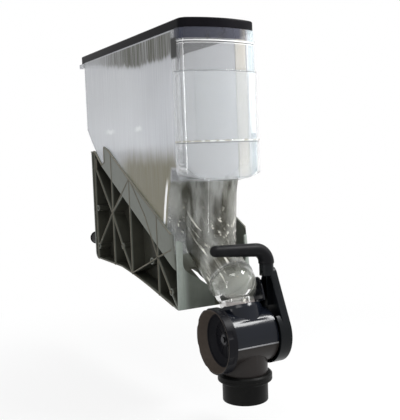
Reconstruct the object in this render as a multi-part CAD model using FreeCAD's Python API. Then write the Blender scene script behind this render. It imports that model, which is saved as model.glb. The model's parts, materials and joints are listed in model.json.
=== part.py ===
"""Gravity bulk food bin: clear hopper on a ribbed bracket, with a lever valve below its spout.

All sizes are in millimetres. X runs across the bin, Y runs to the back, Z is up. The origin
lies on the mounting plane, midway between the rear faces of the two standoffs.
"""
import FreeCAD, Part
import math
import os

from FreeCAD import Vector

# Hopper
bin_width = 152.0
bin_depth = 480.0
wall_gap = 20.0
wall = 3.0
front_bow = 17.0
front_corner_radius = 20.0
back_corner_radius = 6.0
least_corner_radius = 1.0
back_height = 145.0
heel_run = 92.0
heel_drop = 85.0
floor_angle = 28.5
chin_height = 257.5
chin_corner_radius = 38.0
ledge_depth = 54.0
lower_front_run = 28.0
lower_front_radius = 25.0
rim_bead_drop = 19.0
rim_bead_height = 3.0
rim_bead_proud = 1.2
hinge_shelf_depth = 19.0
hinge_shelf_height = 9.0
hinge_shelf_drop = 1.5

# Neck, gutter tube, ball elbow and spout
neck_radius = 39.0
neck_setback = 30.0
neck_lean = 15.0
tube_step = 1.0
tube_angle = 35.2
ball_radius = 40.3
ball_forward = 22.0
gutter_drop = 45.855
seam_ring_width = 3.0
seam_ring_proud = 2.0
spout_step = 5.3
spout_tilt = 17.9
lock_flange_proud = 4.2
lock_flange_seat = 24.4
lock_flange_height = 6.0
lock_lug_proud = 1.6
lock_lug_width = 16.0

# Label holder
holder_wall = 3.0
holder_chin_wall = 4.5
holder_wrap = 22.0
holder_top_drop = 71.0
holder_ridge_drop = 191.0
holder_overlap = 3.5
holder_smile = 15.0
holder_corner_radius = 4.0
label_slot = 0.9
label_skin = 1.2

# Lid and its hinge
lid_height = 17.0
lid_inset = 1.5
lid_wall = 2.5
lid_edge_radius = 3.0
lid_overhang = 18.0
lip_depth = 19.0
lip_wall = 2.0
lip_clearance = 1.5
lid_panel_depth = 1.0
lid_panel_border = 12.0
lid_rib_height = 8.0
hinge_barrel_radius = 4.0
hinge_pin_radius = 1.6
hinge_lug_width = 8.0
hinge_lug_spacing = 96.0
hinge_pin_length = 26.0

# Bracket halves
bracket_wall = 3.0
bracket_setback = 40.0
bracket_top_drop = 200.0
bracket_front_depth = 71.05
bracket_foot_radius = 14.0
web_clearance = 6.4
rib_thickness = 2.6
boss_radius = 6.5
bracket_screw_radius = 2.2
bracket_screw_head_radius = 4.0
bracket_screw_head_height = 2.6
bracket_screw_bite = 22.0

# Rear standoffs
standoff_radius = 14.5
standoff_length = 51.0
standoff_inset = 17.0
standoff_bolt_radius = 3.3
standoff_spigot_radius = 7.0
standoff_rim = 3.0

# Valve
valve_drum_radius = 47.0
valve_wall = 3.0
collar_wall = 5.6
collar_neck_wall = 5.5
collar_rim_height = 5.8
collar_bead = 1.0
collar_flare_height = 3.0
inlet_step = 1.0
throat_step = 1.4
throat_length = 19.0
tab_wall = 2.6
tab_height = 32.0
tab_half_angle = 30.0
drum_ridge_angle = 206.0
drum_ridge_height = 0.9
drum_ridge_width = 2.0
gasket_thickness = 3.0

# Outlet nozzle
bag_ring_proud = 7.8
bag_ring_height = 16.0
bag_ring_lip = 3.0
nozzle_step = 0.5
nozzle_wall = 4.0
nozzle_length = 49.0
nozzle_socket = 5.0

# Turning group: gate, axle, end knob, lever, grip
axle_radius = 6.0
bush_wall = 2.5
bush_flange_radius = 12.0
bush_flange = 1.2
gate_wall = 2.2
gate_hub_radius = 9.0
gate_half_angle = 49.0
knob_proud = 9.0
knob_length = 19.5
knob_rim = 3.0
knob_floor_inset = 8.0
knob_recess = 26.0
knob_floor = 3.0
knob_rib_count = 12
knob_scallop_count = 8
knob_scallop_radius = 22.0
knob_scallop_depth = 1.6
hub_proud = 6.0
hub_length = 23.0
hub_wall = 3.0
lever_plate_thickness = 14.0
lever_reach = 102.0
lever_tip_radius = 12.0
lever_boss_radius = 13.0
socket_radius = 12.5
socket_height = 20.0
socket_inset = 1.0
grip_radius = 9.8
grip_cuff_radius = 13.5
grip_elbow_steps = 6
grip_rod_radius = 4.0
grip_rise_above_lever = 45.0
grip_bend_radius = 24.0
grip_tilt = 3.8
grip_end = 60.0
stop_pin_radius = 3.0
stop_pin_reach = 8.0
stop_circle_inset = 9.0
stop_rib_length = 16.0
lever_travel = 85.0
spring_wire_radius = 1.2
spring_radius = 24.0
spring_turns = 4
spring_pitch = 3.1
end_screw_radius = 2.5
end_screw_head_radius = 5.0
end_screw_head_height = 3.0
end_screw_length = 14.0
washer_radius = 9.0
washer_thickness = 1.2

# Fits and cuts
running_gap = 0.3
journal_gap = 0.05
overrun = 10.0

# Shares along the bracket's length from its front, and of its height down from its top
upper_edge_shares = ((0.851, 0.103), (0.809, 0.085), (0.809, -0.031), (0.753, -0.007),
                     (0.477, 0.210), (0.095, 0.493), (0.0, 0.562))
prong_top_shares = ((1.0, 0.0), (0.949, 0.0))
foot_line_shares = ((0.62, 0.841), (0.293, 0.914), (0.0, 1.0))
foot_back_share = 0.834
standoff_share = 0.69655
long_edge_share = 0.25
upright_rib_shares = (0.958, 0.716, 0.489, 0.186)
diagonal_rib_shares = (((0.932, 0.145), (0.724, 0.459), (0.606, 0.679), (0.491, 0.859)),
                       ((0.491, 0.238), (0.724, 0.459), (0.924, 0.710)),
                       ((0.457, 0.262), (0.315, 0.438), (0.186, 0.703), (0.061, 0.903), (0.0, 0.993)),
                       ((0.491, 0.859), (0.271, 0.745), (0.186, 0.697), (0.0, 0.610)))
boss_shares = ((0.936, 0.438), (0.944, 0.734), (0.601, 0.686), (0.254, 0.734), (0.061, 0.897))
heel_middle_shares = (0.543, 0.612)
lower_front_middle_shares = (0.62, 0.47)
trough_shares = ((1.0, 0.0), (0.78, 0.35), (0.19, 0.84))

half_width = bin_width / 2
front_y = -wall_gap - bin_depth
floor_slope = math.tan(math.radians(floor_angle))
bracket_length = wall_gap + bin_depth - bracket_setback - standoff_length
bracket_height = (back_height + heel_drop + (bin_depth - heel_run - bracket_setback) * floor_slope
                  + bracket_front_depth - bracket_top_drop)
rim_height = bracket_top_drop + bracket_height * standoff_share
standoff_spacing = bin_width - 2 * standoff_inset
holder_bottom_drop = chin_height + holder_overlap
ball_drop = (back_height + heel_drop + (bin_depth - heel_run - ledge_depth - lower_front_run) * floor_slope
             + gutter_drop)
bow_radius = (half_width ** 2 + front_bow ** 2) / (2 * front_bow)
bow_centre_y = front_y - front_bow + bow_radius
corner_centre_y = bow_centre_y - math.sqrt((bow_radius - front_corner_radius) ** 2
                                           - (half_width - front_corner_radius) ** 2)
tube_cos = math.cos(math.radians(tube_angle))
tube_sin = math.sin(math.radians(tube_angle))
tube_direction = Vector(0, tube_cos, tube_sin)
tilt_cos = math.cos(math.radians(spout_tilt))
tilt_sin = math.sin(math.radians(spout_tilt))
spout_up = Vector(0, tilt_sin, tilt_cos)
ball_centre = Vector(0, front_y - ball_forward, rim_height - ball_drop)

tube_radius = ball_radius - tube_step
spout_radius = ball_radius - spout_step
lock_flange_radius = ball_radius + lock_flange_proud
collar_radius = ball_radius + 2 * running_gap + collar_wall
half_drum = spout_radius + 3 * running_gap + collar_neck_wall
valve_width = 2 * half_drum
knob_radius = valve_drum_radius + knob_proud
hub_radius = valve_drum_radius + hub_proud
knob_floor_radius = valve_drum_radius - knob_floor_inset
stop_circle_radius = valve_drum_radius - stop_circle_inset
collar_flare_reach = knob_radius + 4 * running_gap
collar_reach = collar_flare_reach + collar_flare_height + collar_rim_height
valve_drop = collar_reach + 2 * running_gap + lock_flange_seat
valve_centre = ball_centre - spout_up * valve_drop
tab_reach = collar_reach + tab_height
inlet_radius = spout_radius - wall - inlet_step
throat_radius = half_drum - throat_step
throat_reach = valve_drum_radius + throat_length
nozzle_radius = throat_radius - nozzle_step
nozzle_bore_radius = nozzle_radius - nozzle_wall
bag_ring_radius = nozzle_radius + bag_ring_proud
grip_rise = lever_reach + grip_rise_above_lever
socket_low = lever_reach - socket_inset

across = Vector(1, 0, 0)
upward = Vector(0, 0, 1)


def place(y, z):
    """Point on the middle plane, y behind the front corners and z above the rim."""
    return Vector(0, front_y + y, rim_height + z)


def disc_rod(start, direction, radius, length):
    """Round rod from a start point."""
    return Part.makeCylinder(radius, length, start, direction)


def tube(start, direction, outer, inner, length):
    """Round tube from a start point."""
    body = disc_rod(start, direction, outer, length)
    return body.cut(disc_rod(start - direction * overrun, direction, inner, length + 2 * overrun))


def turned(points, centre, start_angle=0.0, sweep=360.0):
    """Solid of revolution about the X axis through a centre, from (x, radius) points."""
    corners = [Vector(x, centre.y, centre.z + radius) for x, radius in points]
    face = Part.Face(Part.makePolygon(corners + corners[:1]))
    middle = Vector(0, centre.y, centre.z)
    face.rotate(middle, across, start_angle - 90)
    return face.revolve(middle, across, sweep)


def at_angle(radius, angle, x=0.0):
    """Point about the valve axis, angles from the back (+Y) towards the top (+Z)."""
    turn = math.radians(angle)
    return Vector(x, valve_centre.y + radius * math.cos(turn), valve_centre.z + radius * math.sin(turn))


def side_slab(points, x_low, x_high):
    """Flat plate of a side view outline between two X places."""
    face = Part.Face(Part.makePolygon(list(points) + [points[0]]))
    face.translate(Vector(x_low, 0, 0))
    return face.extrude(across * (x_high - x_low))


def bin_outline(inset, back_y):
    """Plan view of the bin: bowed front, round corners. A positive inset lies inside."""
    side = half_width - inset
    front_r = front_corner_radius - inset
    back_r = max(back_corner_radius - inset, least_corner_radius)
    bow_r = bow_radius - inset
    corner = Vector(half_width - front_corner_radius, corner_centre_y, 0)
    centre = Vector(0, bow_centre_y, 0)
    reach = (corner - centre).normalize()
    touch = centre + reach * bow_r
    middle_out = (reach + across).normalize()
    right_turn = corner + middle_out * front_r
    back_corner = Vector(side - back_r, back_y - back_r, 0)
    diagonal = (across + Vector(0, 1, 0)).normalize()

    def flip(point):
        return Vector(-point.x, point.y, point.z)

    side_front = Vector(side, corner_centre_y, 0)
    side_back = Vector(side, back_y - back_r, 0)
    back_side = Vector(side - back_r, back_y, 0)
    back_turn = back_corner + diagonal * back_r
    nose = Vector(0, bow_centre_y - bow_r, 0)
    edges = [Part.Arc(touch, nose, flip(touch)).toShape(),
             Part.Arc(flip(touch), flip(right_turn), flip(side_front)).toShape(),
             Part.makeLine(flip(side_front), flip(side_back)),
             Part.Arc(flip(side_back), flip(back_turn), flip(back_side)).toShape(),
             Part.makeLine(flip(back_side), back_side),
             Part.Arc(back_side, back_turn, side_back).toShape(),
             Part.makeLine(side_back, side_front),
             Part.Arc(side_front, right_turn, touch).toShape()]
    return Part.Face(Part.Wire(edges))


def bin_prism(inset, z_low, z_high, back_y=None):
    """Upright prism of the plan view between two heights."""
    if back_y is None:
        back_y = -wall_gap - inset
    face = bin_outline(inset, back_y)
    face.translate(upward * z_low)
    return face.extrude(upward * (z_high - z_low))


def floor_z(y):
    """Height of the outer floor, y behind the front corners."""
    heel_end = bin_depth - heel_run
    return -back_height - heel_drop - (heel_end - y) * floor_slope


def lower_profile(inset):
    """Side view of the bin: back wall, rounded heel, sloping floor and leaning front."""
    heel = [place(bin_depth, -back_height),
            place(bin_depth - heel_run * heel_middle_shares[0],
                  -back_height - heel_drop * heel_middle_shares[1]),
            place(bin_depth - heel_run, -back_height - heel_drop)]
    toe = floor_toe()
    shoulder = place(ledge_depth, -chin_height)
    rise = shoulder.z - toe.z
    middle = place(ledge_depth + lower_front_run * lower_front_middle_shares[0],
                   -chin_height - rise * lower_front_middle_shares[1])
    top_front = place(ledge_depth, overrun)
    top_back = place(bin_depth, overrun)
    edges = [Part.Arc(heel[0], heel[1], heel[2]).toShape(),
             Part.makeLine(heel[2], toe),
             Part.Arc(toe, middle, shoulder).toShape(),
             Part.makeLine(shoulder, top_front),
             Part.makeLine(top_front, top_back),
             Part.makeLine(top_back, heel[0])]
    wire = Part.Wire(edges)
    if inset:
        wire = Part.Face(wire).makeOffset2D(-inset, 2, False, False, False).OuterWire
    return Part.Face(wire)


def floor_toe():
    """Front end of the wide floor in the side view."""
    foot_y = ledge_depth + lower_front_run
    return place(foot_y, floor_z(foot_y))


def lower_body(inset):
    """Wide lower part with rounded front corners."""
    toe = floor_toe()
    face = lower_profile(inset)
    face.translate(across * (inset - half_width))
    body = face.extrude(across * (bin_width - 2 * inset))
    body = body.common(bin_prism(inset, toe.z - overrun, rim_height + overrun))
    upright = []
    for edge in body.Edges:
        box = edge.BoundBox
        front = box.YMax < toe.y + inset + wall
        outside = min(abs(box.XMin), abs(box.XMax)) > half_width - inset - wall / 2
        below = box.ZMax < rim_height - chin_height + overrun
        long = box.ZLength > chin_height * long_edge_share
        if front and outside and below and long:
            upright.append(edge)
    return body.makeFillet(lower_front_radius - inset, upright)


def neck_column(inset):
    """Half-round neck under the chin, down to the middle of the gutter tube."""
    radius = neck_radius - inset
    top = place(neck_setback, -chin_height + wall + inset)
    back = Vector(0, ledge_depth, 0)
    side = across * radius
    nose = Vector(0, radius, 0)
    edges = [Part.Arc(top + side, top - nose, top - side).toShape(),
             Part.makeLine(top - side, top - side + back),
             Part.makeLine(top - side + back, top + side + back),
             Part.makeLine(top + side + back, top + side)]
    drop = ball_drop - chin_height
    lean = Vector(0, neck_lean, -drop)
    column = Part.Face(Part.Wire(edges)).extrude(lean)
    reach = bin_depth / 2
    low = ball_centre - tube_direction * reach
    high = ball_centre + tube_direction * reach
    lift = Vector(0, 0, bin_depth)
    keep = side_slab([low, high, high + lift, low + lift], -half_width, half_width)
    return column.common(keep)


def flow_path(inset):
    """Neck, gutter tube, ball elbow and spout in one."""
    tube_length = bin_depth * 2 / 3
    gutter = disc_rod(ball_centre, tube_direction, tube_radius - inset, tube_length)
    ball = Part.makeSphere(ball_radius - inset, ball_centre)
    return neck_column(inset).fuse([gutter, ball])


def chin_corner(inset, side):
    """What a round lower corner of the chin leaves free, on the side given as 1 or -1."""
    turn = chin_corner_radius - inset
    centre = Vector(half_width - chin_corner_radius, 0, rim_height - chin_height + chin_corner_radius)
    diagonal = (across - upward).normalize()
    high = centre + across * turn
    low = centre - upward * turn
    edges = [Part.Arc(high, centre + diagonal * turn, low).toShape(),
             Part.makeLine(low, low - upward * overrun),
             Part.makeLine(low - upward * overrun, low + (across - upward) * overrun + across * turn),
             Part.makeLine(low + (across - upward) * overrun + across * turn, high + across * overrun),
             Part.makeLine(high + across * overrun, high)]
    corner = Part.Face(Part.Wire(edges))
    corner.translate(Vector(0, front_y - front_bow - overrun, 0))
    corner = corner.extrude(Vector(0, bin_depth, 0))
    return corner if side > 0 else corner.mirror(Vector(0, 0, 0), across)


def bin_volume(inset):
    """Space taken by the bin, its neck and its elbow at an inset from the outside."""
    upper = bin_prism(inset, rim_height - chin_height + inset, rim_height + (overrun if inset else 0))
    upper = upper.common(Part.makeBox(bin_width, front_bow + ledge_depth + overrun, bin_depth,
                                      Vector(-half_width, front_y - front_bow, rim_height - chin_height)))
    upper = upper.cut(chin_corner(inset, 1)).cut(chin_corner(inset, -1))
    lower = lower_body(inset)
    if not inset:
        lower = lower.common(bin_prism(inset, rim_height - bin_depth, rim_height))
    return upper.fuse([lower, flow_path(inset)])


def spout_end():
    """Distance of the spout's end from the ball's centre, just above the drum."""
    return valve_drop - valve_drum_radius - 2 * running_gap


def lock_flange():
    """Flange with two lugs that holds the valve's collar under the ball."""
    base = ball_centre - spout_up * lock_flange_seat
    ring = disc_rod(base, spout_up, lock_flange_radius, lock_flange_height)
    lug = Part.makeBox(2 * (lock_flange_radius + lock_lug_proud), lock_lug_width, lock_flange_height,
                       Vector(-lock_flange_radius - lock_lug_proud, -lock_lug_width / 2, 0))
    lug.rotate(Vector(0, 0, 0), across, -spout_tilt)
    lug.translate(base)
    round_end = disc_rod(base, spout_up, lock_flange_radius + lock_lug_proud, lock_flange_height)
    return ring.fuse(lug.common(round_end))


def hinge_axis():
    """Y and Z of the lid's hinge."""
    back = -wall_gap + lid_overhang - hinge_barrel_radius
    return back, rim_height + running_gap + hinge_barrel_radius


def hinge_shelf():
    """Shelf behind the rim with two lugs for the lid's hinge pins."""
    top = rim_height - hinge_shelf_drop
    width = bin_width + 2 * wall
    body = Part.makeBox(width, hinge_shelf_depth + wall, hinge_shelf_height,
                        Vector(-width / 2, -wall_gap - wall, top - hinge_shelf_height))
    hollow = Part.makeBox(width - 2 * wall, hinge_shelf_depth - wall, hinge_shelf_height,
                          Vector(wall - width / 2, -wall_gap, top - hinge_shelf_height - wall))
    body = body.cut(hollow)
    y, z = hinge_axis()
    for side in (-1, 1):
        x = side * hinge_lug_spacing / 2 - hinge_lug_width / 2
        eye = disc_rod(Vector(x, y, z), across, hinge_barrel_radius, hinge_lug_width)
        stem = Part.makeBox(hinge_lug_width, 2 * hinge_barrel_radius, z - top + wall,
                            Vector(x, y - hinge_barrel_radius, top - wall))
        body = body.fuse([eye, stem])
    for side in (-1, 1):
        x = side * hinge_lug_spacing / 2 - hinge_pin_length / 2 - overrun
        bore_length = hinge_pin_length + 2 * overrun
        body = body.cut(disc_rod(Vector(x, y, z), across, hinge_pin_radius + journal_gap, bore_length))
    return body


def rim_bead():
    """Low bead round the front of the bin, level with the end of the lid's lip."""
    low = rim_height - rim_bead_drop - rim_bead_height / 2
    ring = bin_prism(-rim_bead_proud, low, low + rim_bead_height)
    reach = Part.makeBox(2 * bin_width, front_corner_radius + front_bow, bin_depth,
                         Vector(-bin_width, front_y - front_bow - rim_bead_proud, low - overrun))
    return ring.common(reach)


def hopper_body():
    """Clear moulded bin: upper box, sloping floor, neck, gutter, ball elbow and spout."""
    spout = disc_rod(ball_centre, spout_up * -1, spout_radius, spout_end())
    ring_start = ball_centre + tube_direction * math.sqrt(ball_radius ** 2 - tube_radius ** 2)
    ring = disc_rod(ring_start, tube_direction, ball_radius + seam_ring_proud, seam_ring_width)
    outer = bin_volume(0).fuse([spout, ring, lock_flange(), hinge_shelf(), rim_bead()])
    bore = disc_rod(ball_centre, spout_up * -1, spout_radius - wall, spout_end() + overrun)
    body = outer.cut(bin_volume(wall).fuse(bore))
    return body.removeSplitter()


def label_holder():
    """Clear cover wrapped round the front, with a raised label zone and a thicker chin."""
    top = rim_height - holder_top_drop
    ridge = rim_height - holder_ridge_drop
    bottom = rim_height - holder_bottom_drop
    gap = running_gap
    label_zone = bin_prism(-gap - holder_wall, ridge - overrun, top)
    chin = bin_prism(-gap - holder_chin_wall, bottom, ridge)
    bead = bin_prism(-gap - holder_chin_wall - label_slot, ridge - label_skin, ridge + label_skin)
    body = label_zone.fuse([chin, bead])
    body = body.cut(bin_prism(-gap, bottom - overrun, top + overrun))
    slot = bin_prism(-gap - label_skin - label_slot, ridge + label_skin, top + overrun)
    slot = slot.cut(bin_prism(-gap - label_skin, ridge, top + 2 * overrun))
    slot_start = Vector(front_corner_radius - half_width, front_y - bin_depth / 2, ridge)
    slot = slot.common(Part.makeBox(bin_width - 2 * front_corner_radius, bin_depth, bin_depth, slot_start))
    body = body.cut(slot)
    reach = half_width + gap + holder_chin_wall + wall
    front = front_y - front_bow - holder_chin_wall - overrun
    low = Vector(0, 0, bottom)
    edge = low + upward * holder_smile
    face = Part.Face(Part.Wire([Part.Arc(edge - across * reach, low, edge + across * reach).toShape(),
                                Part.makeLine(edge + across * reach, Vector(reach, 0, top)),
                                Part.makeLine(Vector(reach, 0, top), Vector(-reach, 0, top)),
                                Part.makeLine(Vector(-reach, 0, top), edge - across * reach)]))
    face.translate(Vector(0, front, 0))
    body = body.common(face.extrude(Vector(0, front_y + holder_wrap - front, 0)))
    wrap = place(holder_wrap, -holder_top_drop)
    corner_z = bottom + holder_smile + holder_corner_radius
    start = Vector(0, front_y, bottom)
    turn = holder_wrap - holder_corner_radius
    side = Part.Wire([Part.makeLine(Vector(0, front, top), Vector(0, front, bottom)),
                      Part.makeLine(Vector(0, front, bottom), start + Vector(0, turn, 0)),
                      Part.makeLine(start + Vector(0, turn, 0), start + Vector(0, turn, holder_smile)),
                      Part.Arc(start + Vector(0, turn, holder_smile),
                               Vector(0, front_y + turn + holder_corner_radius * math.sin(math.pi / 4),
                                      corner_z - holder_corner_radius * math.cos(math.pi / 4)),
                               Vector(0, wrap.y, corner_z)).toShape(),
                      Part.makeLine(Vector(0, wrap.y, corner_z), wrap),
                      Part.makeLine(wrap, Vector(0, front, top))])
    shape = Part.Face(side)
    shape.translate(across * -reach)
    return body.common(shape.extrude(across * (2 * reach)))


def lid():
    """Black cover with a skirt, a locating lip, cross ribs and hinge barrels."""
    low = rim_height + running_gap
    top = rim_height + lid_height
    back = -wall_gap + lid_overhang
    shell = bin_prism(lid_inset, low, top, back)
    upper = [edge for edge in shell.Edges if edge.BoundBox.ZMin > top - running_gap]
    shell = shell.makeFillet(lid_edge_radius, upper)
    shell = shell.cut(bin_prism(lid_inset + lid_wall, low - overrun, top - lid_wall, back - lid_wall))
    panel = bin_prism(lid_inset + lid_panel_border, top - lid_panel_depth, top + overrun,
                      back - lid_panel_border)
    outer = wall + lip_clearance
    lip = bin_prism(outer, rim_height - lip_depth, top - lid_wall / 2)
    lip = lip.cut(bin_prism(outer + lip_wall, rim_height - lip_depth - overrun, top + overrun))
    body = shell.cut(panel).fuse(lip)
    y, z = hinge_axis()
    rear = half_width - lid_inset - lid_wall
    rib_y = [front_y + bin_depth * share / 3 for share in (1, 2)]
    rib_x = half_width - outer - lip_wall / 2
    rib_z = top - lid_wall - lid_rib_height + lip_wall / 2
    ribs = [Part.makeBox(2 * rib_x, lip_wall, lid_rib_height, Vector(-rib_x, place_y, rib_z))
            for place_y in rib_y]
    body = body.fuse(ribs)
    barrel = disc_rod(Vector(-rear, y, z), across, hinge_barrel_radius, 2 * rear)
    block = Part.makeBox(2 * rear, hinge_barrel_radius, top - z - lid_wall / 2, Vector(-rear, y, z))
    body = body.fuse([barrel, block])
    heel = Part.makeBox(bin_width, overrun, z - low + overrun, Vector(-half_width, y, low - overrun))
    round_end = disc_rod(Vector(-half_width, y, z), across, hinge_barrel_radius, bin_width)
    body = body.cut(heel.cut(round_end))
    for side in (-1, 1):
        middle = side * hinge_lug_spacing / 2
        slot_width = hinge_lug_width + 2 * running_gap
        reach = hinge_barrel_radius + 2 * running_gap
        slot = Part.makeBox(slot_width, 2 * reach, reach + overrun,
                            Vector(middle - slot_width / 2, y - reach, z - overrun))
        bore = disc_rod(Vector(middle - hinge_pin_length / 2, y, z), across,
                        hinge_pin_radius + journal_gap, hinge_pin_length)
        body = body.cut(slot.fuse(bore))
    return body.removeSplitter()


def lid_hinge_pins():
    """Two steel pins through the lugs and the lid's barrels."""
    y, z = hinge_axis()
    length = hinge_pin_length - running_gap
    pins = []
    for side in (-1, 1):
        start = Vector(side * hinge_lug_spacing / 2 - length / 2, y, z)
        pins.append(disc_rod(start, across, hinge_pin_radius, length))
    return Part.makeCompound(pins)


def on_bracket(shares):
    """Point of the bracket's side view from its shares."""
    along, down = shares
    return place(bracket_setback + bracket_length * along, -bracket_top_drop - bracket_height * down)


def bracket_side_face():
    """Side view of the bracket: upper edge, notch, rear prong, foot and front."""
    upper = [on_bracket(pair) for pair in upper_edge_shares]
    prong = [on_bracket(pair) for pair in prong_top_shares]
    foot = [on_bracket(pair) for pair in foot_line_shares]
    back_low = on_bracket((1.0, foot_back_share))
    turn = bracket_foot_radius
    on_back = back_low + upward * turn
    on_foot = back_low - Vector(0, turn, 0)
    bend = back_low + Vector(0, -1, 1) * (turn * (1 - math.sin(math.pi / 4)))
    corners = [foot[2]] + upper[::-1] + prong[::-1] + [on_back]
    edges = [Part.makeLine(a, b) for a, b in zip(corners, corners[1:])]
    edges.append(Part.Arc(on_back, bend, on_foot).toShape())
    edges.append(Part.makeLine(on_foot, foot[0]))
    edges.append(Part.Arc(foot[0], foot[1], foot[2]).toShape())
    return Part.Face(Part.Wire(edges))


def under_floor_face(drop):
    """Side view of the space under the bin's floor, a drop below it."""
    shift = drop / math.cos(math.radians(floor_angle))
    heel_y = bin_depth - heel_run
    front = place(0, floor_z(0) - shift)
    heel = place(heel_y, floor_z(heel_y) - shift)
    slope = heel_drop / heel_run
    back_y = bracket_setback + bracket_length + overrun
    rear = place(back_y, heel.z - rim_height + (back_y - heel_y) * slope)
    deep = Vector(0, 0, bracket_height + bracket_top_drop)
    return Part.Face(Part.makePolygon([front, heel, rear, rear - deep, front - deep, front]))


def below_bin(face, gap):
    """Part of a side view face that lies a gap or more below the bin."""
    return face.common(under_floor_face(gap)).cut(lower_profile(-gap)).Faces[0]


def strip(start, end, thickness, x_low, x_high):
    """Flat rib between two points of the side view."""
    run = (end - start).normalize()
    normal = Vector(0, -run.z, run.y) * (thickness / 2)
    return side_slab([start - normal, end - normal, end + normal, start + normal], x_low, x_high)


def bracket_half(side):
    """One ribbed moulded half of the bracket, on the side given as 1 or -1."""
    outer_x = half_width + running_gap + bracket_wall
    wall_x = half_width + running_gap
    web_x = tube_radius + 2 * running_gap + bracket_wall + web_clearance
    whole = bracket_side_face()
    under = below_bin(whole, running_gap)
    cavity = under.makeOffset2D(-bracket_wall, 2, False, False, False)

    def slab(face, x_low, x_high):
        copy = face.copy()
        copy.translate(across * x_low)
        return copy.extrude(across * (x_high - x_low))

    pieces = [slab(whole, wall_x, outer_x).cut(slab(cavity, wall_x - overrun, outer_x + overrun)),
              slab(under, web_x, outer_x).cut(slab(cavity, web_x - overrun, outer_x + overrun)),
              slab(under, web_x, web_x + rib_thickness)]
    roof = under.cut(below_bin(whole, running_gap + bracket_wall))
    pieces.append(slab(roof, 0, web_x + rib_thickness))
    box = whole.BoundBox
    front_wall = Part.makeBox(web_x + rib_thickness, bracket_wall, box.ZLength,
                              Vector(0, box.YMin, box.ZMin))
    back_wall = Part.makeBox(web_x + rib_thickness, bracket_wall, box.ZLength,
                             Vector(0, box.YMax - bracket_wall, box.ZMin))
    inner = slab(under, 0, web_x + rib_thickness)
    pieces += [front_wall.common(inner), back_wall.common(inner)]
    ribs = []
    for share in upright_rib_shares:
        start = on_bracket((share, 0))
        ribs.append(strip(start, start - upward * bracket_height, rib_thickness, web_x, outer_x))
    for path in diagonal_rib_shares:
        points = [on_bracket(pair) for pair in path]
        ribs += [strip(a, b, rib_thickness, web_x, outer_x) for a, b in zip(points, points[1:])]
    bosses = [disc_rod(on_bracket(pair), across, boss_radius, outer_x) for pair in boss_shares]
    filled = slab(under, 0, outer_x)
    pieces.append(ribs[0].fuse(ribs[1:] + bosses).common(filled))
    body = pieces[0].fuse(pieces[1:])
    bed = tube_radius + 2 * running_gap
    channel = disc_rod(ball_centre, tube_direction, bed + bracket_wall, bin_depth * 2 / 3)
    body = body.fuse(channel.common(filled))
    body = body.cut(disc_rod(ball_centre, tube_direction, bed, bin_depth * 2 / 3))
    top = on_bracket(upper_edge_shares[-1])
    notch = [Vector(outer_x * x, top.y, top.z - trough_reach() * z) for x, z in trough_shares]
    bottom = Vector(0, top.y, top.z - trough_reach())
    above = Vector(0, top.y, top.z + bin_width)
    profile = [above, above + across * outer_x] + notch + [bottom]
    cutter = Part.Face(Part.makePolygon(profile + profile[:1]))
    cutter.translate(Vector(0, -overrun, 0))
    body = body.cut(cutter.extrude(Vector(0, overrun + 2 * bracket_wall, 0)).common(
        Part.makeBox(wall_x, bin_depth, 2 * bin_depth, Vector(0, box.YMin - overrun, box.ZMin - overrun))))
    for pair in boss_shares:
        middle = on_bracket(pair)
        body = body.cut(disc_rod(middle - across * overrun, across, bracket_screw_radius + journal_gap,
                                 outer_x + 2 * overrun))
        seat = disc_rod(middle + across * bracket_screw_bite, across,
                        bracket_screw_head_radius + 2 * running_gap, outer_x)
        body = body.cut(seat)
    spigot = Vector(standoff_spacing / 2, -overrun - standoff_length - bracket_wall, 0)
    body = body.cut(disc_rod(spigot, Vector(0, 1, 0), standoff_spigot_radius + journal_gap,
                             bracket_wall + 2 * overrun))
    body = body.removeSplitter()
    if side < 0:
        body = body.mirror(Vector(0, 0, 0), across)
    return body


def trough_reach():
    """Depth of the notch in the bracket's front wall below the side walls' front corners."""
    top = on_bracket(upper_edge_shares[-1])
    foot = on_bracket(foot_line_shares[-1])
    return top.z - foot.z - 4 * bracket_wall


def bracket_screws():
    """Five screws through the bosses that hold the halves together."""
    screws = []
    for pair in boss_shares:
        middle = on_bracket(pair)
        head_x = -bracket_screw_bite - bracket_screw_head_height
        head = disc_rod(middle + across * head_x, across, bracket_screw_head_radius,
                        bracket_screw_head_height)
        shank = disc_rod(middle - across * bracket_screw_bite, across, bracket_screw_radius,
                         2 * bracket_screw_bite - bracket_wall)
        screws.append(head.fuse(shank))
    return Part.makeCompound(screws)


def rear_standoffs():
    """Two round spacers that stand on the mounting plane, with spigots in the bracket's back."""
    length = standoff_length
    back = Vector(0, 1, 0)
    parts = []
    for side in (-1, 1):
        middle = Vector(side * standoff_spacing / 2, 0, 0)
        body = disc_rod(middle - back * length, back, standoff_radius, length)
        groove = tube(middle - back * (length - standoff_rim), back, standoff_radius + overrun,
                      standoff_radius - standoff_rim / 2, length - 2 * standoff_rim)
        spigot = disc_rod(middle - back * (length + bracket_wall), back, standoff_spigot_radius,
                          bracket_wall + overrun)
        bore = disc_rod(middle - back * (length + overrun), back, standoff_bolt_radius,
                        length + 2 * overrun)
        parts.append(body.cut(groove).fuse(spigot).cut(bore))
    return Part.makeCompound(parts)


def collar_point(reach):
    """Point on the collar's axis at a reach from the valve axis."""
    return valve_centre + spout_up * reach


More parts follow.
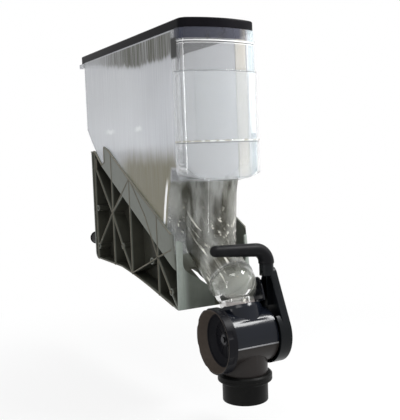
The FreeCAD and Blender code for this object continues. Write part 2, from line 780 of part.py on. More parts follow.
def valve_housing():
    """Drum with a tilted inlet collar and lock tab above, and the outlet throat below."""
    left = Vector(-half_drum, valve_centre.y, valve_centre.z)
    drum = disc_rod(left, across, valve_drum_radius, valve_width)
    collar_neck = half_drum - running_gap
    collar = disc_rod(valve_centre, spout_up, collar_neck, collar_flare_reach)
    flare = Part.makeCone(collar_neck, collar_radius, collar_flare_height,
                          collar_point(collar_flare_reach), spout_up)
    rim_start = collar_flare_reach + collar_flare_height
    rim = disc_rod(collar_point(rim_start), spout_up, collar_radius, collar_reach - rim_start)
    bead = disc_rod(collar_point(collar_reach - valve_wall), spout_up, collar_radius + collar_bead,
                    valve_wall)
    throat = disc_rod(valve_centre, upward * -1, throat_radius, throat_reach)
    inside = valve_drum_radius - valve_wall
    proud = valve_drum_radius + drum_ridge_height
    ridge = turned([(-half_drum, inside), (half_drum, inside), (half_drum, proud), (-half_drum, proud)],
                   valve_centre, drum_ridge_angle, math.degrees(drum_ridge_width / valve_drum_radius))
    body = drum.fuse([collar, flare, rim, bead, throat, ridge])
    pocket = disc_rod(collar_point(gasket_seat()), spout_up, ball_radius + 2 * running_gap, collar_reach)
    spout_seat = disc_rod(collar_point(valve_drop - spout_end() - running_gap), spout_up,
                          spout_radius + 2 * running_gap, collar_reach)
    inlet = disc_rod(valve_centre, spout_up, inlet_radius, collar_reach)
    chamber = disc_rod(left - across * overrun, across, valve_drum_radius - valve_wall,
                       valve_width - valve_wall + overrun)
    outlet = Part.makeCone(inlet_radius, throat_radius - valve_wall, throat_reach + overrun, valve_centre,
                           upward * -1)
    bush_hole = disc_rod(left, across, axle_radius + bush_wall + 2 * journal_gap, valve_width + overrun)
    pin_hole = disc_rod(stop_pin_base() - across * overrun, across, stop_pin_radius + journal_gap,
                        valve_wall + 2 * overrun)
    body = body.cut(pocket.fuse([spout_seat, inlet, outlet, chamber, bush_hole, pin_hole]))
    tab = tube(collar_point(collar_reach - 2 * valve_wall), spout_up, lock_tab_radius() + tab_wall,
               lock_tab_radius(), tab_reach - collar_reach + 2 * valve_wall)
    wedge_length = 2 * collar_radius
    spread = math.tan(math.radians(tab_half_angle)) * wedge_length
    wedge = Part.Face(Part.makePolygon([Vector(0, 0, 0), Vector(wedge_length, -spread, 0),
                                        Vector(wedge_length, spread, 0), Vector(0, 0, 0)]))
    wedge = wedge.extrude(upward * (2 * tab_reach))
    wedge.rotate(Vector(0, 0, 0), across, -spout_tilt)
    wedge.translate(valve_centre)
    round_end = disc_rod(collar_point(tab_reach - collar_radius / 2), across, collar_radius / 2,
                         wedge_length)
    low_part = disc_rod(valve_centre, spout_up, wedge_length, tab_reach - collar_radius / 2)
    return body.fuse(tab.common(wedge).common(round_end.fuse(low_part))).removeSplitter()


def gasket_seat():
    """Reach of the collar's inner step, where its gasket sits."""
    return collar_flare_reach + gasket_thickness


def lock_tab_radius():
    """Inner radius of the lock tab, just outside the lugs of the spout's flange."""
    return lock_flange_radius + lock_lug_proud + 2 * running_gap


def collar_gasket():
    """Rubber ring in the bottom of the collar's pocket, round the spout."""
    return tube(collar_point(gasket_seat()), spout_up, ball_radius + running_gap,
                spout_radius + running_gap, gasket_thickness)


def axle_bush():
    """Flanged bearing bush in the drum's closed end."""
    wall_x = half_drum - valve_wall
    start = Vector(wall_x, valve_centre.y, valve_centre.z)
    sleeve = disc_rod(start, across, axle_radius + bush_wall, valve_wall)
    flange = disc_rod(start - across * bush_flange, across, bush_flange_radius, bush_flange)
    body = sleeve.fuse(flange)
    return body.cut(disc_rod(start - across * overrun, across, axle_radius + journal_gap, 3 * overrun))


def stop_pin_base():
    """Middle of the stop pin where it enters the drum's closed end."""
    return at_angle(stop_circle_radius, 270, half_drum - valve_wall)


def stop_pin():
    """Pin on the drum's end that limits the lever's travel."""
    base = stop_pin_base()
    return disc_rod(base, across, stop_pin_radius, valve_wall + stop_pin_reach)


def gate_turn():
    """Angle of the inlet about the valve axis, from the back towards the top."""
    return 90 - spout_tilt


def gate_left_x():
    """X of the gate's left face, just inside the end knob's floor."""
    return knob_floor_x() + knob_floor + running_gap


def gate_right_x():
    """X of the gate's right face, just inside the bush flange."""
    return half_drum - valve_wall - bush_flange - running_gap


def gate():
    """Curved shutter between two end discs, on a hub round the axle."""
    radius = valve_drum_radius - valve_wall - running_gap
    left = gate_left_x()
    right = gate_right_x()
    discs = []
    for x in (left, right - gate_wall):
        discs.append(disc_rod(Vector(x, valve_centre.y, valve_centre.z), across, radius, gate_wall))
    inside = radius - gate_wall
    shutter = turned([(left, inside), (right, inside), (right, radius), (left, radius)], valve_centre,
                     gate_turn() - gate_half_angle, 2 * gate_half_angle)
    hub = disc_rod(Vector(left, valve_centre.y, valve_centre.z), across, gate_hub_radius, right - left)
    body = discs[0].fuse([discs[1], shutter, hub])
    bore = disc_rod(Vector(left - overrun, valve_centre.y, valve_centre.z), across,
                    axle_radius + journal_gap, right - left + 2 * overrun)
    return body.cut(bore)


def knob_outer_x():
    """X of the end knob's outer rim."""
    return -half_drum - 2 * running_gap - knob_length


def knob_floor_x():
    """X of the end knob's recessed floor."""
    return knob_outer_x() + knob_recess


def end_knob():
    """Cup on the left end with a dished recess, finger scallops and a ribbed floor.

    It is shaped about the X axis and then moved to the valve's centre.
    """
    outer = knob_outer_x()
    floor = knob_floor_x()
    inner_end = -half_drum - 2 * running_gap
    spigot = valve_drum_radius - valve_wall - running_gap

    def point(x, radius):
        return Vector(x, 0, radius)

    rim_inner = knob_radius - knob_rim
    bend_x = outer + (floor - outer) * 2 / 3
    bend_radius = knob_floor_radius + (rim_inner - knob_floor_radius) / 2
    edges = [Part.makeLine(point(outer, rim_inner), point(outer, knob_radius)),
             Part.makeLine(point(outer, knob_radius), point(inner_end, knob_radius)),
             Part.makeLine(point(inner_end, knob_radius), point(inner_end, spigot)),
             Part.makeLine(point(inner_end, spigot), point(floor + knob_floor, spigot)),
             Part.makeLine(point(floor + knob_floor, spigot), point(floor + knob_floor, 0)),
             Part.makeLine(point(floor + knob_floor, 0), point(floor, 0)),
             Part.makeLine(point(floor, 0), point(floor, knob_floor_radius)),
             Part.Arc(point(floor, knob_floor_radius), point(bend_x, bend_radius),
                      point(outer, rim_inner)).toShape()]
    middle = Vector(0, 0, 0)
    body = Part.Face(Part.Wire(edges)).revolve(middle, across, 360)
    boss = disc_rod(point(floor - knob_floor, 0), across, 2 * axle_radius, knob_floor)
    extra = [boss]
    for index in range(knob_rib_count):
        rib = Part.makeBox(knob_floor / 2, knob_floor_radius - axle_radius, knob_floor / 2,
                           Vector(floor - knob_floor / 2, axle_radius, -knob_floor / 4))
        rib.rotate(middle, across, 360 * index / knob_rib_count)
        extra.append(rib)
    body = body.fuse(extra)
    for index in range(knob_scallop_count):
        angle = 360 * (index + 1 / 2) / knob_scallop_count
        reach = knob_radius + knob_scallop_radius - knob_scallop_depth
        axis = at_angle(reach, angle, outer - overrun) - valve_centre
        body = body.cut(disc_rod(axis, across, knob_scallop_radius, knob_length / 2 + overrun))
    bore = disc_rod(point(floor - overrun, 0), across, axle_radius + journal_gap, 2 * overrun + knob_floor)
    body = body.cut(bore)
    body.translate(valve_centre)
    return body


def axle_ends():
    """X of the axle's two ends."""
    return knob_floor_x() - knob_floor + running_gap, lever_outer_x() - hub_wall


def axle():
    """Steel axle through the knob, the gate, the bush and the lever's boss."""
    left, right = axle_ends()
    body = disc_rod(Vector(left, valve_centre.y, valve_centre.z), across, axle_radius, right - left)
    for x, way in ((left, 1), (right, -1)):
        body = body.cut(disc_rod(Vector(x - way * overrun, valve_centre.y, valve_centre.z), across * way,
                                 end_screw_radius + journal_gap, end_screw_length + overrun))
    return body


def lever_inner_x():
    """X of the lever hub's open side, next to the drum."""
    return half_drum + 2 * running_gap


def lever_outer_x():
    """X of the lever's outer face."""
    return lever_inner_x() + hub_length


def teardrop(radius, tip_radius, x_low, x_high):
    """Plate of two circles joined by their tangents, hub below and lever tip above."""
    reach = lever_reach
    lean = math.asin((radius - tip_radius) / reach)
    out = Vector(0, math.cos(lean), math.sin(lean))
    centre = Vector(x_low, valve_centre.y, valve_centre.z)
    tip = centre + upward * reach
    inward = Vector(0, -out.y, out.z)
    edges = [Part.makeLine(centre + out * radius, tip + out * tip_radius),
             Part.Arc(tip + out * tip_radius, tip + upward * tip_radius,
                      tip + inward * tip_radius).toShape(),
             Part.makeLine(tip + inward * tip_radius, centre + inward * radius),
             Part.Arc(centre + inward * radius, centre - upward * radius, centre + out * radius).toShape()]
    return Part.Face(Part.Wire(edges)).extrude(across * (x_high - x_low))


def lever_arm():
    """Hollow teardrop lever with a cup-shaped hub, stop ribs and the grip's socket."""
    outer = lever_outer_x()
    inner = lever_inner_x()
    plate_x = outer - lever_plate_thickness
    centre = Vector(inner, valve_centre.y, valve_centre.z)
    cup = disc_rod(centre, across, hub_radius, hub_length)
    body = cup.fuse(teardrop(hub_radius, lever_tip_radius, plate_x, outer))
    hollow = teardrop(hub_radius - hub_wall, lever_tip_radius - hub_wall, plate_x - overrun,
                      outer - hub_wall)
    hollow = hollow.fuse(disc_rod(centre - across * overrun, across, hub_radius - hub_wall,
                                  hub_length - hub_wall + overrun))
    body = body.cut(hollow)
    boss = disc_rod(centre + across * (2 * running_gap), across, lever_boss_radius,
                    hub_length - 2 * running_gap)
    base = Vector(plate_x, valve_centre.y, valve_centre.z + socket_low)
    socket = disc_rod(base, upward, socket_radius, socket_height)
    rib_low = hub_radius - 2 * hub_wall
    rib = Part.makeBox(lever_plate_thickness - hub_wall / 2, hub_wall, socket_low + hub_wall - rib_low,
                       Vector(plate_x, valve_centre.y - hub_wall / 2, valve_centre.z + rib_low))
    extra = [boss, socket, rib]
    for angle in stop_rib_angles():
        start = at_angle(hub_radius - hub_wall / 2 - stop_rib_length, angle)
        end = at_angle(hub_radius - hub_wall / 2, angle)
        extra.append(strip(start, end, hub_wall, inner + running_gap, outer - hub_wall / 2))
    body = body.fuse(extra)
    bore = disc_rod(centre - across * overrun, across, axle_radius + journal_gap,
                    hub_length - hub_wall + overrun)
    screw = disc_rod(centre, across, end_screw_radius + journal_gap, hub_length + overrun)
    grip_hole = disc_rod(base + upward * hub_wall, upward, grip_rod_radius + journal_gap, socket_height)
    return body.cut(bore.fuse([screw, grip_hole])).removeSplitter()


def stop_rib_angles():
    """Angles of the lever's two stop ribs at rest, each side of the stop pin."""
    half = stop_pin_radius + hub_wall / 2 + running_gap
    spread = math.degrees(math.asin(half / (stop_circle_radius - stop_pin_radius)))
    return 270 + spread, 270 - spread - lever_travel


def grip_run():
    """Direction of the grip across the front, tilted up from the lever."""
    turn = math.radians(grip_tilt)
    return Vector(-math.cos(turn), 0, math.sin(turn))


def grip_points(start_height, end_margin):
    """Places on the grip's path: start, bend's start, middle and end, and the tip across the front."""
    x = lever_outer_x() - lever_plate_thickness
    low = Vector(x, valve_centre.y, valve_centre.z + start_height)
    bend_start = Vector(x, valve_centre.y, valve_centre.z + grip_rise - grip_bend_radius)
    middle = bend_start - across * grip_bend_radius
    turn = math.radians(grip_tilt)
    half = math.radians(90 - grip_tilt) / 2
    between = middle + Vector(math.cos(half), 0, math.sin(half)) * grip_bend_radius
    end = middle + Vector(math.sin(turn), 0, math.cos(turn)) * grip_bend_radius
    tip = end + grip_run() * ((end.x + grip_end - end_margin) / math.cos(turn))
    return low, bend_start, between, end, tip


def grip_bar(radius, start_height, end_margin):
    """Round bar along the grip's path."""
    low, bend_start, between, end, tip = grip_points(start_height, end_margin)
    wire = Part.Wire([Part.makeLine(low, bend_start), Part.Arc(bend_start, between, end).toShape(),
                      Part.makeLine(end, tip)])
    ring = Part.Wire(Part.makeCircle(radius, low, upward))
    return wire.makePipeShell([ring], True, True)


def grip_rod():
    """Bent steel rod that joins the lever's socket and the sleeve."""
    return grip_bar(grip_rod_radius, socket_low + hub_wall + running_gap, 2 * grip_radius)


def grip_elbow(low, bend_start):
    """Elbow of the sleeve, thick above the lever and as slim as the rest past the bend."""
    middle = bend_start - across * grip_bend_radius
    rings = [Part.Wire(Part.makeCircle(grip_cuff_radius, low, upward))]
    for step in range(grip_elbow_steps + 1):
        share = step / grip_elbow_steps
        radius = grip_cuff_radius + (grip_radius - grip_cuff_radius) * share
        ring = Part.makeCircle(radius, bend_start, upward)
        ring.rotate(middle, Vector(0, -1, 0), (90 - grip_tilt) * share)
        rings.append(Part.Wire(ring))
    return Part.makeLoft(rings, True, False)


def grip_sleeve():
    """Soft sleeve over the bent rod, with a thick elbow and a domed end."""
    start = socket_low + socket_height + running_gap
    low, bend_start, between, end, tip = grip_points(start, grip_radius)
    bar = disc_rod(end, grip_run(), grip_radius, (tip - end).Length)
    body = grip_elbow(low, bend_start).fuse([bar, Part.makeSphere(grip_radius, tip)])
    bore = grip_bar(grip_rod_radius + journal_gap, start - overrun, 2 * grip_radius - running_gap)
    return body.cut(bore)


def biarc(start, start_way, end, end_way):
    """Two arcs that join two points and run along both given directions."""
    gap = end - start
    both = start_way + end_way
    a = 2 * (1 - start_way.dot(end_way))
    b = 2 * gap.dot(both)
    c = -gap.dot(gap)
    reach = (-b + math.sqrt(b * b - 4 * a * c)) / (2 * a)
    first = start + start_way * reach
    second = end - end_way * reach
    join = (first + second) * 0.5
    arcs = []
    for head, corner, tail in ((start, first, join), (join, second, end)):
        middle = (head + tail) * 0.5
        half = (tail - head).Length / 2
        height = (corner - middle).Length
        rise = half * math.tan(math.atan2(height, half) / 2)
        arcs.append(Part.Arc(head, middle + (corner - middle) * (rise / height), tail).toShape())
    return arcs


def return_spring():
    """Torsion spring wound round the axle inside the lever's hub."""
    start_x = half_drum + spring_wire_radius + 2 * running_gap
    steps = spring_turns * 4
    climb = spring_pitch / (2 * math.pi * spring_radius)

    def spot(index):
        point = at_angle(spring_radius, 90 * index, start_x + spring_pitch * index / 4)
        angle = math.radians(90 * index)
        way = Vector(climb, -math.sin(angle), math.cos(angle)).normalize()
        return point, way

    edges = []
    for index in range(steps):
        point, way = spot(index)
        following, next_way = spot(index + 1)
        edges += biarc(point, way, following, next_way)
    first, first_way = spot(0)
    last, last_way = spot(steps)
    leg = 2 * spring_wire_radius
    edges.insert(0, Part.makeLine(first - first_way * leg, first))
    edges.append(Part.makeLine(last, last + last_way * leg))
    path = Part.Wire(edges)
    ring = Part.Wire(Part.makeCircle(spring_wire_radius, first - first_way * leg, first_way))
    print("spring: least gap between turns", round(spring_pitch - 2 * spring_wire_radius, 2))
    return path.makePipeShell([ring], True, False)


def end_screws():
    """Screws into the axle's two ends, with washers under their heads."""
    left, right = axle_ends()
    parts = []
    for x, way in ((left - running_gap, -1), (lever_outer_x(), 1)):
        seat = Vector(x, valve_centre.y, valve_centre.z)
        out = across * way
        washer = tube(seat, out, washer_radius, end_screw_radius + journal_gap, washer_thickness)
        head = disc_rod(seat + out * washer_thickness, out, end_screw_head_radius, end_screw_head_height)
        shank = disc_rod(seat + out * washer_thickness, out * -1, end_screw_radius, end_screw_length)
        parts.append((washer, head.fuse(shank)))
    return parts


def outlet_nozzle():
    """Outlet tube with a ring that holds a bag, fitted over the throat's end."""
    down = upward * -1
    top = valve_centre + down * (throat_reach + running_gap - nozzle_socket)
    ring_low = bag_ring_height - bag_ring_lip
    profile = [(nozzle_bore_radius, nozzle_socket), (throat_radius + journal_gap, nozzle_socket),
               (throat_radius + journal_gap, 0), (bag_ring_radius - bag_ring_lip, 0),
               (bag_ring_radius, bag_ring_lip), (bag_ring_radius, ring_low),
               (nozzle_radius + bag_ring_lip / 2, bag_ring_height),
               (nozzle_radius, bag_ring_height + bag_ring_lip / 2),
               (nozzle_radius, nozzle_length), (nozzle_bore_radius, nozzle_length)]
    corners = [top + Vector(radius, 0, 0) + down * depth for radius, depth in profile]
    face = Part.Face(Part.makePolygon(corners + corners[:1]))
    return face.revolve(top, upward, 360)


def write(name, shape):
    """Save one piece."""
    if not shape.isValid():
        print("not valid:", name)
    shape.exportStep("parts/" + name + ".step")
    print(name, "solids", len(shape.Solids), "volume", round(shape.Volume))


os.makedirs("parts", exist_ok=True)
write("hopper_body", hopper_body())
write("label_holder", label_holder())
write("lid", lid())
write("lid_hinge_pins", lid_hinge_pins())
write("bracket_left", bracket_half(-1))
write("bracket_right", bracket_half(1))
write("bracket_screws", bracket_screws())
write("rear_standoffs", rear_standoffs())
write("valve_housing", valve_housing())
write("collar_gasket", collar_gasket())
write("axle_bush", axle_bush())
write("stop_pin", stop_pin())
write("return_spring", return_spring())
write("outlet_nozzle", outlet_nozzle())
write("gate", gate())
write("axle", axle())
write("end_knob", end_knob())
write("lever_arm", lever_arm())
write("grip_rod", grip_rod())
write("grip_sleeve", grip_sleeve())
(knob_washer, knob_screw), (lever_washer, lever_screw) = end_screws()
write("knob_washer", knob_washer)
write("knob_screw", knob_screw)
write("lever_washer", lever_washer)
write("lever_screw", lever_screw)
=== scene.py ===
"""Looks of the gravity bulk food bin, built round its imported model.

All lengths are in metres, in the model's own frame: X across the bin, Y to the back, Z up, with
the origin on the mounting plane between the two standoffs.
"""
from __future__ import annotations

import json
import logging
import math
from dataclasses import dataclass
from enum import Enum
from typing import Callable, Sequence

import bmesh
import bpy
import numpy as np
from mathutils import Matrix, Vector

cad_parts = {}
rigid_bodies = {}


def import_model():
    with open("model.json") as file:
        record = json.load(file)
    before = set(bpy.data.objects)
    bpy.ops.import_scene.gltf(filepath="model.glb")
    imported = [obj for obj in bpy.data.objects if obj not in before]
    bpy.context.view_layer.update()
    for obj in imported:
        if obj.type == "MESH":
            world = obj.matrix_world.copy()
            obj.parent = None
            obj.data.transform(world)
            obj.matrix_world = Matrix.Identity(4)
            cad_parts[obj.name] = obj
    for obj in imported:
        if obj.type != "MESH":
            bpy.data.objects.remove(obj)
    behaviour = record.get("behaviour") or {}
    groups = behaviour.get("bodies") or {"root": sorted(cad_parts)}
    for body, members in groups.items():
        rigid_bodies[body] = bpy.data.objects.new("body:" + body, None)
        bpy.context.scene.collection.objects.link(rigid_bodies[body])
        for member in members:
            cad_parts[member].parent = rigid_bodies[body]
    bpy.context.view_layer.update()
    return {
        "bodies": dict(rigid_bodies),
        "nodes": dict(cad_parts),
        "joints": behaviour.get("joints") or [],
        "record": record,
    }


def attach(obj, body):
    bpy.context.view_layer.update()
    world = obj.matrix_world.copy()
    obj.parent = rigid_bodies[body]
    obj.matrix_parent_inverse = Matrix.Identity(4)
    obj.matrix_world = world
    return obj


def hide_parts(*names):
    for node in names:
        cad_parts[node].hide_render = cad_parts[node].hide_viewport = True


log = logging.getLogger("food_bin")
Colour = tuple[float, float, float]
FULL_TURN = 2 * math.pi
# The valve's axis runs along X through this point, and its inlet leans by this angle.
VALVE_Y, VALVE_Z = -0.549969, -0.126595
LEAN = math.radians(17.9)
ORIGIN = Vector((0, 0, 0))


class Body(Enum):
    """The rigid groups that pieces ride on."""

    BIN = "bin"
    COVER = "cover"
    ROTOR = "turning_group"


class Slot(Enum):
    """The record's material slots."""

    CLEAR = "clear_plastic"
    BLACK = "black_plastic"
    MATT = "matte_black"
    GLOSS = "gloss_black"
    BRACKET = "bracket_plastic"
    GRIP = "grip_rubber"
    SEAL = "seal_rubber"


# ---- shader writing


class Tap:
    """One value inside a finish's shader. Arithmetic on it adds Math nodes."""

    def __init__(self, recipe: "Recipe", socket: bpy.types.NodeSocket) -> None:
        """Keep the socket and the recipe that it belongs to."""
        self.recipe = recipe
        self.socket = socket

    def __add__(self, other: "Tap | float") -> "Tap":
        """Sum."""
        return self.recipe.maths("ADD", self, other)

    def __radd__(self, other: float) -> "Tap":
        """Sum with a plain number first."""
        return self.recipe.maths("ADD", other, self)

    def __sub__(self, other: "Tap | float") -> "Tap":
        """Difference."""
        return self.recipe.maths("SUBTRACT", self, other)

    def __rsub__(self, other: float) -> "Tap":
        """Difference from a plain number."""
        return self.recipe.maths("SUBTRACT", other, self)

    def __mul__(self, other: "Tap | float") -> "Tap":
        """Product."""
        return self.recipe.maths("MULTIPLY", self, other)

    def __rmul__(self, other: float) -> "Tap":
        """Product with a plain number first."""
        return self.recipe.maths("MULTIPLY", other, self)

    def magnitude(self) -> "Tap":
        """Absolute value."""
        return self.recipe.maths("ABSOLUTE", self)

    def larger(self, other: "Tap | float") -> "Tap":
        """Larger of two values."""
        return self.recipe.maths("MAXIMUM", self, other)

    def band(self, low: float, high: float) -> "Tap":
        """Smooth step from 0 at low to 1 at high.

        Args:
            low: value where the step starts.
            high: value where the step ends; it may be below low.

        Returns:
            The step.
        """
        settings = {"interpolation_type": "SMOOTHSTEP"}
        inputs = {"Value": self, "From Min": low, "From Max": high}
        return self.recipe.node("ShaderNodeMapRange", settings, inputs, "Result")


class Recipe:
    """Builds one material's node tree round a Principled shader."""

    def __init__(self, name: str) -> None:
        """Start an empty material.

        Args:
            name: the material's name.
        """
        self.material = bpy.data.materials.new(name)
        self.material.use_nodes = True
        self.tree = self.material.node_tree
        self.tree.nodes.clear()
        self.output = self.tree.nodes.new("ShaderNodeOutputMaterial")
        self.shader = self.tree.nodes.new("ShaderNodeBsdfPrincipled")
        self.tree.links.new(self.shader.outputs[0], self.output.inputs["Surface"])
        self.place = self.node("ShaderNodeTexCoord", {}, {}, "Object")

    @staticmethod
    def _find(sockets: Sequence[bpy.types.NodeSocket], key: str) -> bpy.types.NodeSocket:
        """Socket with that identifier, or else with that name."""
        named = [s for s in sockets if s.identifier == key] or [s for s in sockets if s.name == key]
        return named[0]

    def node(self, kind: str, settings: dict, inputs: dict, output: str) -> Tap:
        """Add one node.

        Args:
            kind: the node's type.
            settings: its properties, set first.
            inputs: socket identifier or name to a value or a Tap.
            output: identifier or name of the output to return.

        Returns:
            The output as a Tap.
        """
        made = self.tree.nodes.new(kind)
        for key, value in settings.items():
            setattr(made, key, value)
        for key, value in inputs.items():
            self.feed(self._find(made.inputs, key), value)
        return Tap(self, self._find(made.outputs, output))

    def feed(self, socket: bpy.types.NodeSocket, value: "Tap | float | Sequence[float]") -> None:
        """Link a Tap to a socket, or set the socket's own value."""
        if isinstance(value, Tap):
            self.tree.links.new(value.socket, socket)
        elif isinstance(value, (int, float)):
            socket.default_value = value
        else:
            size = len(socket.default_value)
            socket.default_value = (*value, 1.0)[:size] if len(value) < size else value

    def maths(self, operation: str, *values: "Tap | float") -> Tap:
        """Math node on one or two values."""
        keys = ("Value", "Value_001")
        return self.node("ShaderNodeMath", {"operation": operation}, dict(zip(keys, values)), "Value")

    def axis(self, letter: str) -> Tap:
        """X, Y or Z of the object coordinates."""
        return self.node("ShaderNodeSeparateXYZ", {}, {"Vector": self.place}, letter)

    def noise(self, scale: Colour, detail: float = 2.0, seed: float = 0.0, tilt: float = 0.0) -> Tap:
        """Noise over the object, with its own scale along each axis.

        Args:
            scale: cycles a metre along X, Y and Z.
            detail: octaves.
            seed: shift of the pattern.
            tilt: turn of the pattern about X, in radians.

        Returns:
            Noise from 0 to 1.
        """
        turned = self.node("ShaderNodeMapping", {}, {"Vector": self.place, "Rotation": (tilt, 0.0, 0.0)}, "Vector")
        shifted = self.node("ShaderNodeMapping", {}, {
            "Vector": turned, "Location": (seed, seed * 0.7, seed * 1.3), "Scale": scale}, "Vector")
        inputs = {"Vector": shifted, "Scale": 1.0, "Detail": detail}
        return self.node("ShaderNodeTexNoise", {}, inputs, "Fac")

    def blend(self, share: Tap, first: "Tap | Colour", second: "Tap | Colour") -> Tap:
        """Colour from first, at share 0, to second, at share 1."""
        settings = {"data_type": "RGBA", "clamp_factor": True}
        inputs = {"Factor_Float": share, "A_Color": first, "B_Color": second}
        return self.node("ShaderNodeMix", settings, inputs, "Result_Color")

    def relief(self, height: Tap, depth: float, strength: float = 1.0) -> Tap:
        """Bump from a height.

        Args:
            height: height from 0 to 1.
            depth: height of 1, in metres.
            strength: share of the effect.

        Returns:
            The bent normal.
        """
        inputs = {"Height": height, "Distance": depth, "Strength": strength}
        return self.node("ShaderNodeBump", {}, inputs, "Normal")

    def mixed(self, share: Tap, first: bpy.types.NodeSocket, second: bpy.types.NodeSocket) -> bpy.types.NodeSocket:
        """Shader that goes from the first, at share 0, to the second, at share 1."""
        mixer = self.tree.nodes.new("ShaderNodeMixShader")
        self.feed(mixer.inputs[0], share)
        self.tree.links.new(first, mixer.inputs[1])
        self.tree.links.new(second, mixer.inputs[2])
        return mixer.outputs[0]

    def show(self, shader: bpy.types.NodeSocket) -> None:
        """Send a shader to the material's surface."""
        self.tree.links.new(shader, self.output.inputs["Surface"])

    def done(self, **inputs: "Tap | float | Colour") -> bpy.types.Material:
        """Set the Principled shader's sockets, with _ for a space in their names.

        Returns:
            The material.
        """
        for key, value in inputs.items():
            self.feed(self._find(self.shader.inputs, key.replace("_", " ")), value)
        return self.material


# ---- finishes


@dataclass(frozen=True)
class MouldedPlastic:
    """Opaque moulded plastic with grain, cloudy shade and dull patches."""

    name: str
    dark: Colour
    pale: Colour
    roughness: float
    unevenness: float = 0.10
    grain_depth: float = 0.00002
    grain_size: float = 0.0009
    specular: float = 0.08

    def start(self) -> tuple[Recipe, Tap, Tap, Tap]:
        """Recipe with its cloud, its grain and its fine rubbing."""
        recipe = Recipe(self.name)
        cloud = recipe.noise((14.0, 14.0, 14.0), 4.0, 1.7)
        fine = 1.0 / self.grain_size
        grain = recipe.noise((fine, fine, fine), 2.0, 5.1)
        rubbing = recipe.noise((260.0, 190.0, 120.0), 3.0, 3.3)
        return recipe, cloud, grain, rubbing

    def end(self, recipe: Recipe, colour: Tap, rough: Tap, normal: Tap) -> bpy.types.Material:
        """Material with these and the finish's own gloss."""
        return recipe.done(Base_Color=colour, Roughness=rough, Normal=normal, IOR=1.5,
                           Specular_IOR_Level=self.specular)

    def material(self) -> bpy.types.Material:
        """Material of this finish."""
        recipe, cloud, grain, rubbing = self.start()
        colour = recipe.blend(cloud.band(0.35, 0.7) * 0.6 + rubbing.band(0.5, 0.75) * 0.3, self.dark, self.pale)
        rough = self.roughness + (cloud - 0.5) * self.unevenness + (rubbing - 0.5) * self.unevenness
        return self.end(recipe, colour, rough, recipe.relief(grain, self.grain_depth))


@dataclass(frozen=True)
class BracketPlastic(MouldedPlastic):
    """Grey-green moulding painted paler on its outer faces as sheen with some rubbing, and near the top of its front
    part as sheen; the recesses keep the dark body colour as painted shade.
    """

    # Colour of the painted sheen on the outer faces and near the front.
    edge: Colour = (0.2, 0.2, 0.17)
    face_from: float = 0.0755
    face_to: float = 0.0785

    def material(self) -> bpy.types.Material:
        """Material of this finish."""
        recipe, cloud, grain, rubbing = self.start()
        # Outer faces are painted paler as sheen, with rubbing; the recesses stay dark as painted shade.
        outside = recipe.axis("X").magnitude().band(self.face_from, self.face_to)
        body = recipe.blend(cloud.band(0.3, 0.7), self.dark, self.pale)
        # Painted sheen near the top of the front part.
        ahead = recipe.axis("Y").band(-0.340, -0.410) * recipe.axis("Z").band(-0.02, 0.02)
        sheen_and_wear = (outside * (0.72 + rubbing * 0.35)).larger(ahead * 0.55)
        colour = recipe.blend(sheen_and_wear, body, self.edge)
        rough = self.roughness + (cloud - 0.5) * self.unevenness - outside * 0.08
        return self.end(recipe, colour, rough, recipe.relief(grain, self.grain_depth))


@dataclass(frozen=True)
class DrumPlastic(MouldedPlastic):
    """Polished black above the parting line and satin brown-black below it."""

    parting_angle: float = 188.5
    satin: Colour = (0.016, 0.013, 0.012)

    def material(self) -> bpy.types.Material:
        """Material of this finish. The depth below the parting plane decides the polish."""
        recipe, cloud, grain, rubbing = self.start()
        turn = math.radians(self.parting_angle)
        across = (-math.sin(turn), math.cos(turn))
        y, z = recipe.axis("Y") - VALVE_Y, recipe.axis("Z") - VALVE_Z
        below = (y * across[0] + z * across[1]).band(0.0, 0.0012)
        wave = recipe.noise((30.0, 60.0, 60.0), 1.0, 8.0)
        smear = recipe.noise((40.0, 400.0, 400.0), 3.0, 2.0).band(0.52, 0.8)
        colour = recipe.blend(below, recipe.blend(cloud, self.dark, self.pale), self.satin)
        rough = self.roughness + below * 0.22 + smear * 0.08
        height_map = wave * 0.85 + grain * below * 0.15
        return self.end(recipe, colour, rough, recipe.relief(height_map, 0.0003))


@dataclass(frozen=True)
class DishPlastic(MouldedPlastic):
    """Black plastic whose dished inner wall is painted brown as a reflection."""

    dish_from: float = 0.0345
    dish_to: float = 0.0545
    # Brown of the painted reflection on the dished inner wall.
    dust: Colour = (0.060, 0.048, 0.040)

    def material(self) -> bpy.types.Material:
        """Material of this finish. The distance from the valve's axis decides where the painted brown reflection lies.
        """
        recipe, cloud, grain, rubbing = self.start()
        y, z = recipe.axis("Y") - VALVE_Y, recipe.axis("Z") - VALVE_Z
        radius = recipe.maths("SQRT", y * y + z * z)
        inside = radius.band(self.dish_from, self.dish_from + 0.001) * radius.band(self.dish_to, self.dish_to - 0.001)
        outer_face = recipe.axis("X").band(-0.0462, -0.0472)
        body = recipe.blend(cloud, self.dark, self.pale)
        # The dished inner wall is painted brown, as a reflection.
        colour = recipe.blend(inside * outer_face * (0.7 + rubbing * 0.5), body, self.dust)
        rough = self.roughness + inside * 0.18 + (cloud - 0.5) * self.unevenness
        return self.end(recipe, colour, rough, recipe.relief(grain, self.grain_depth))


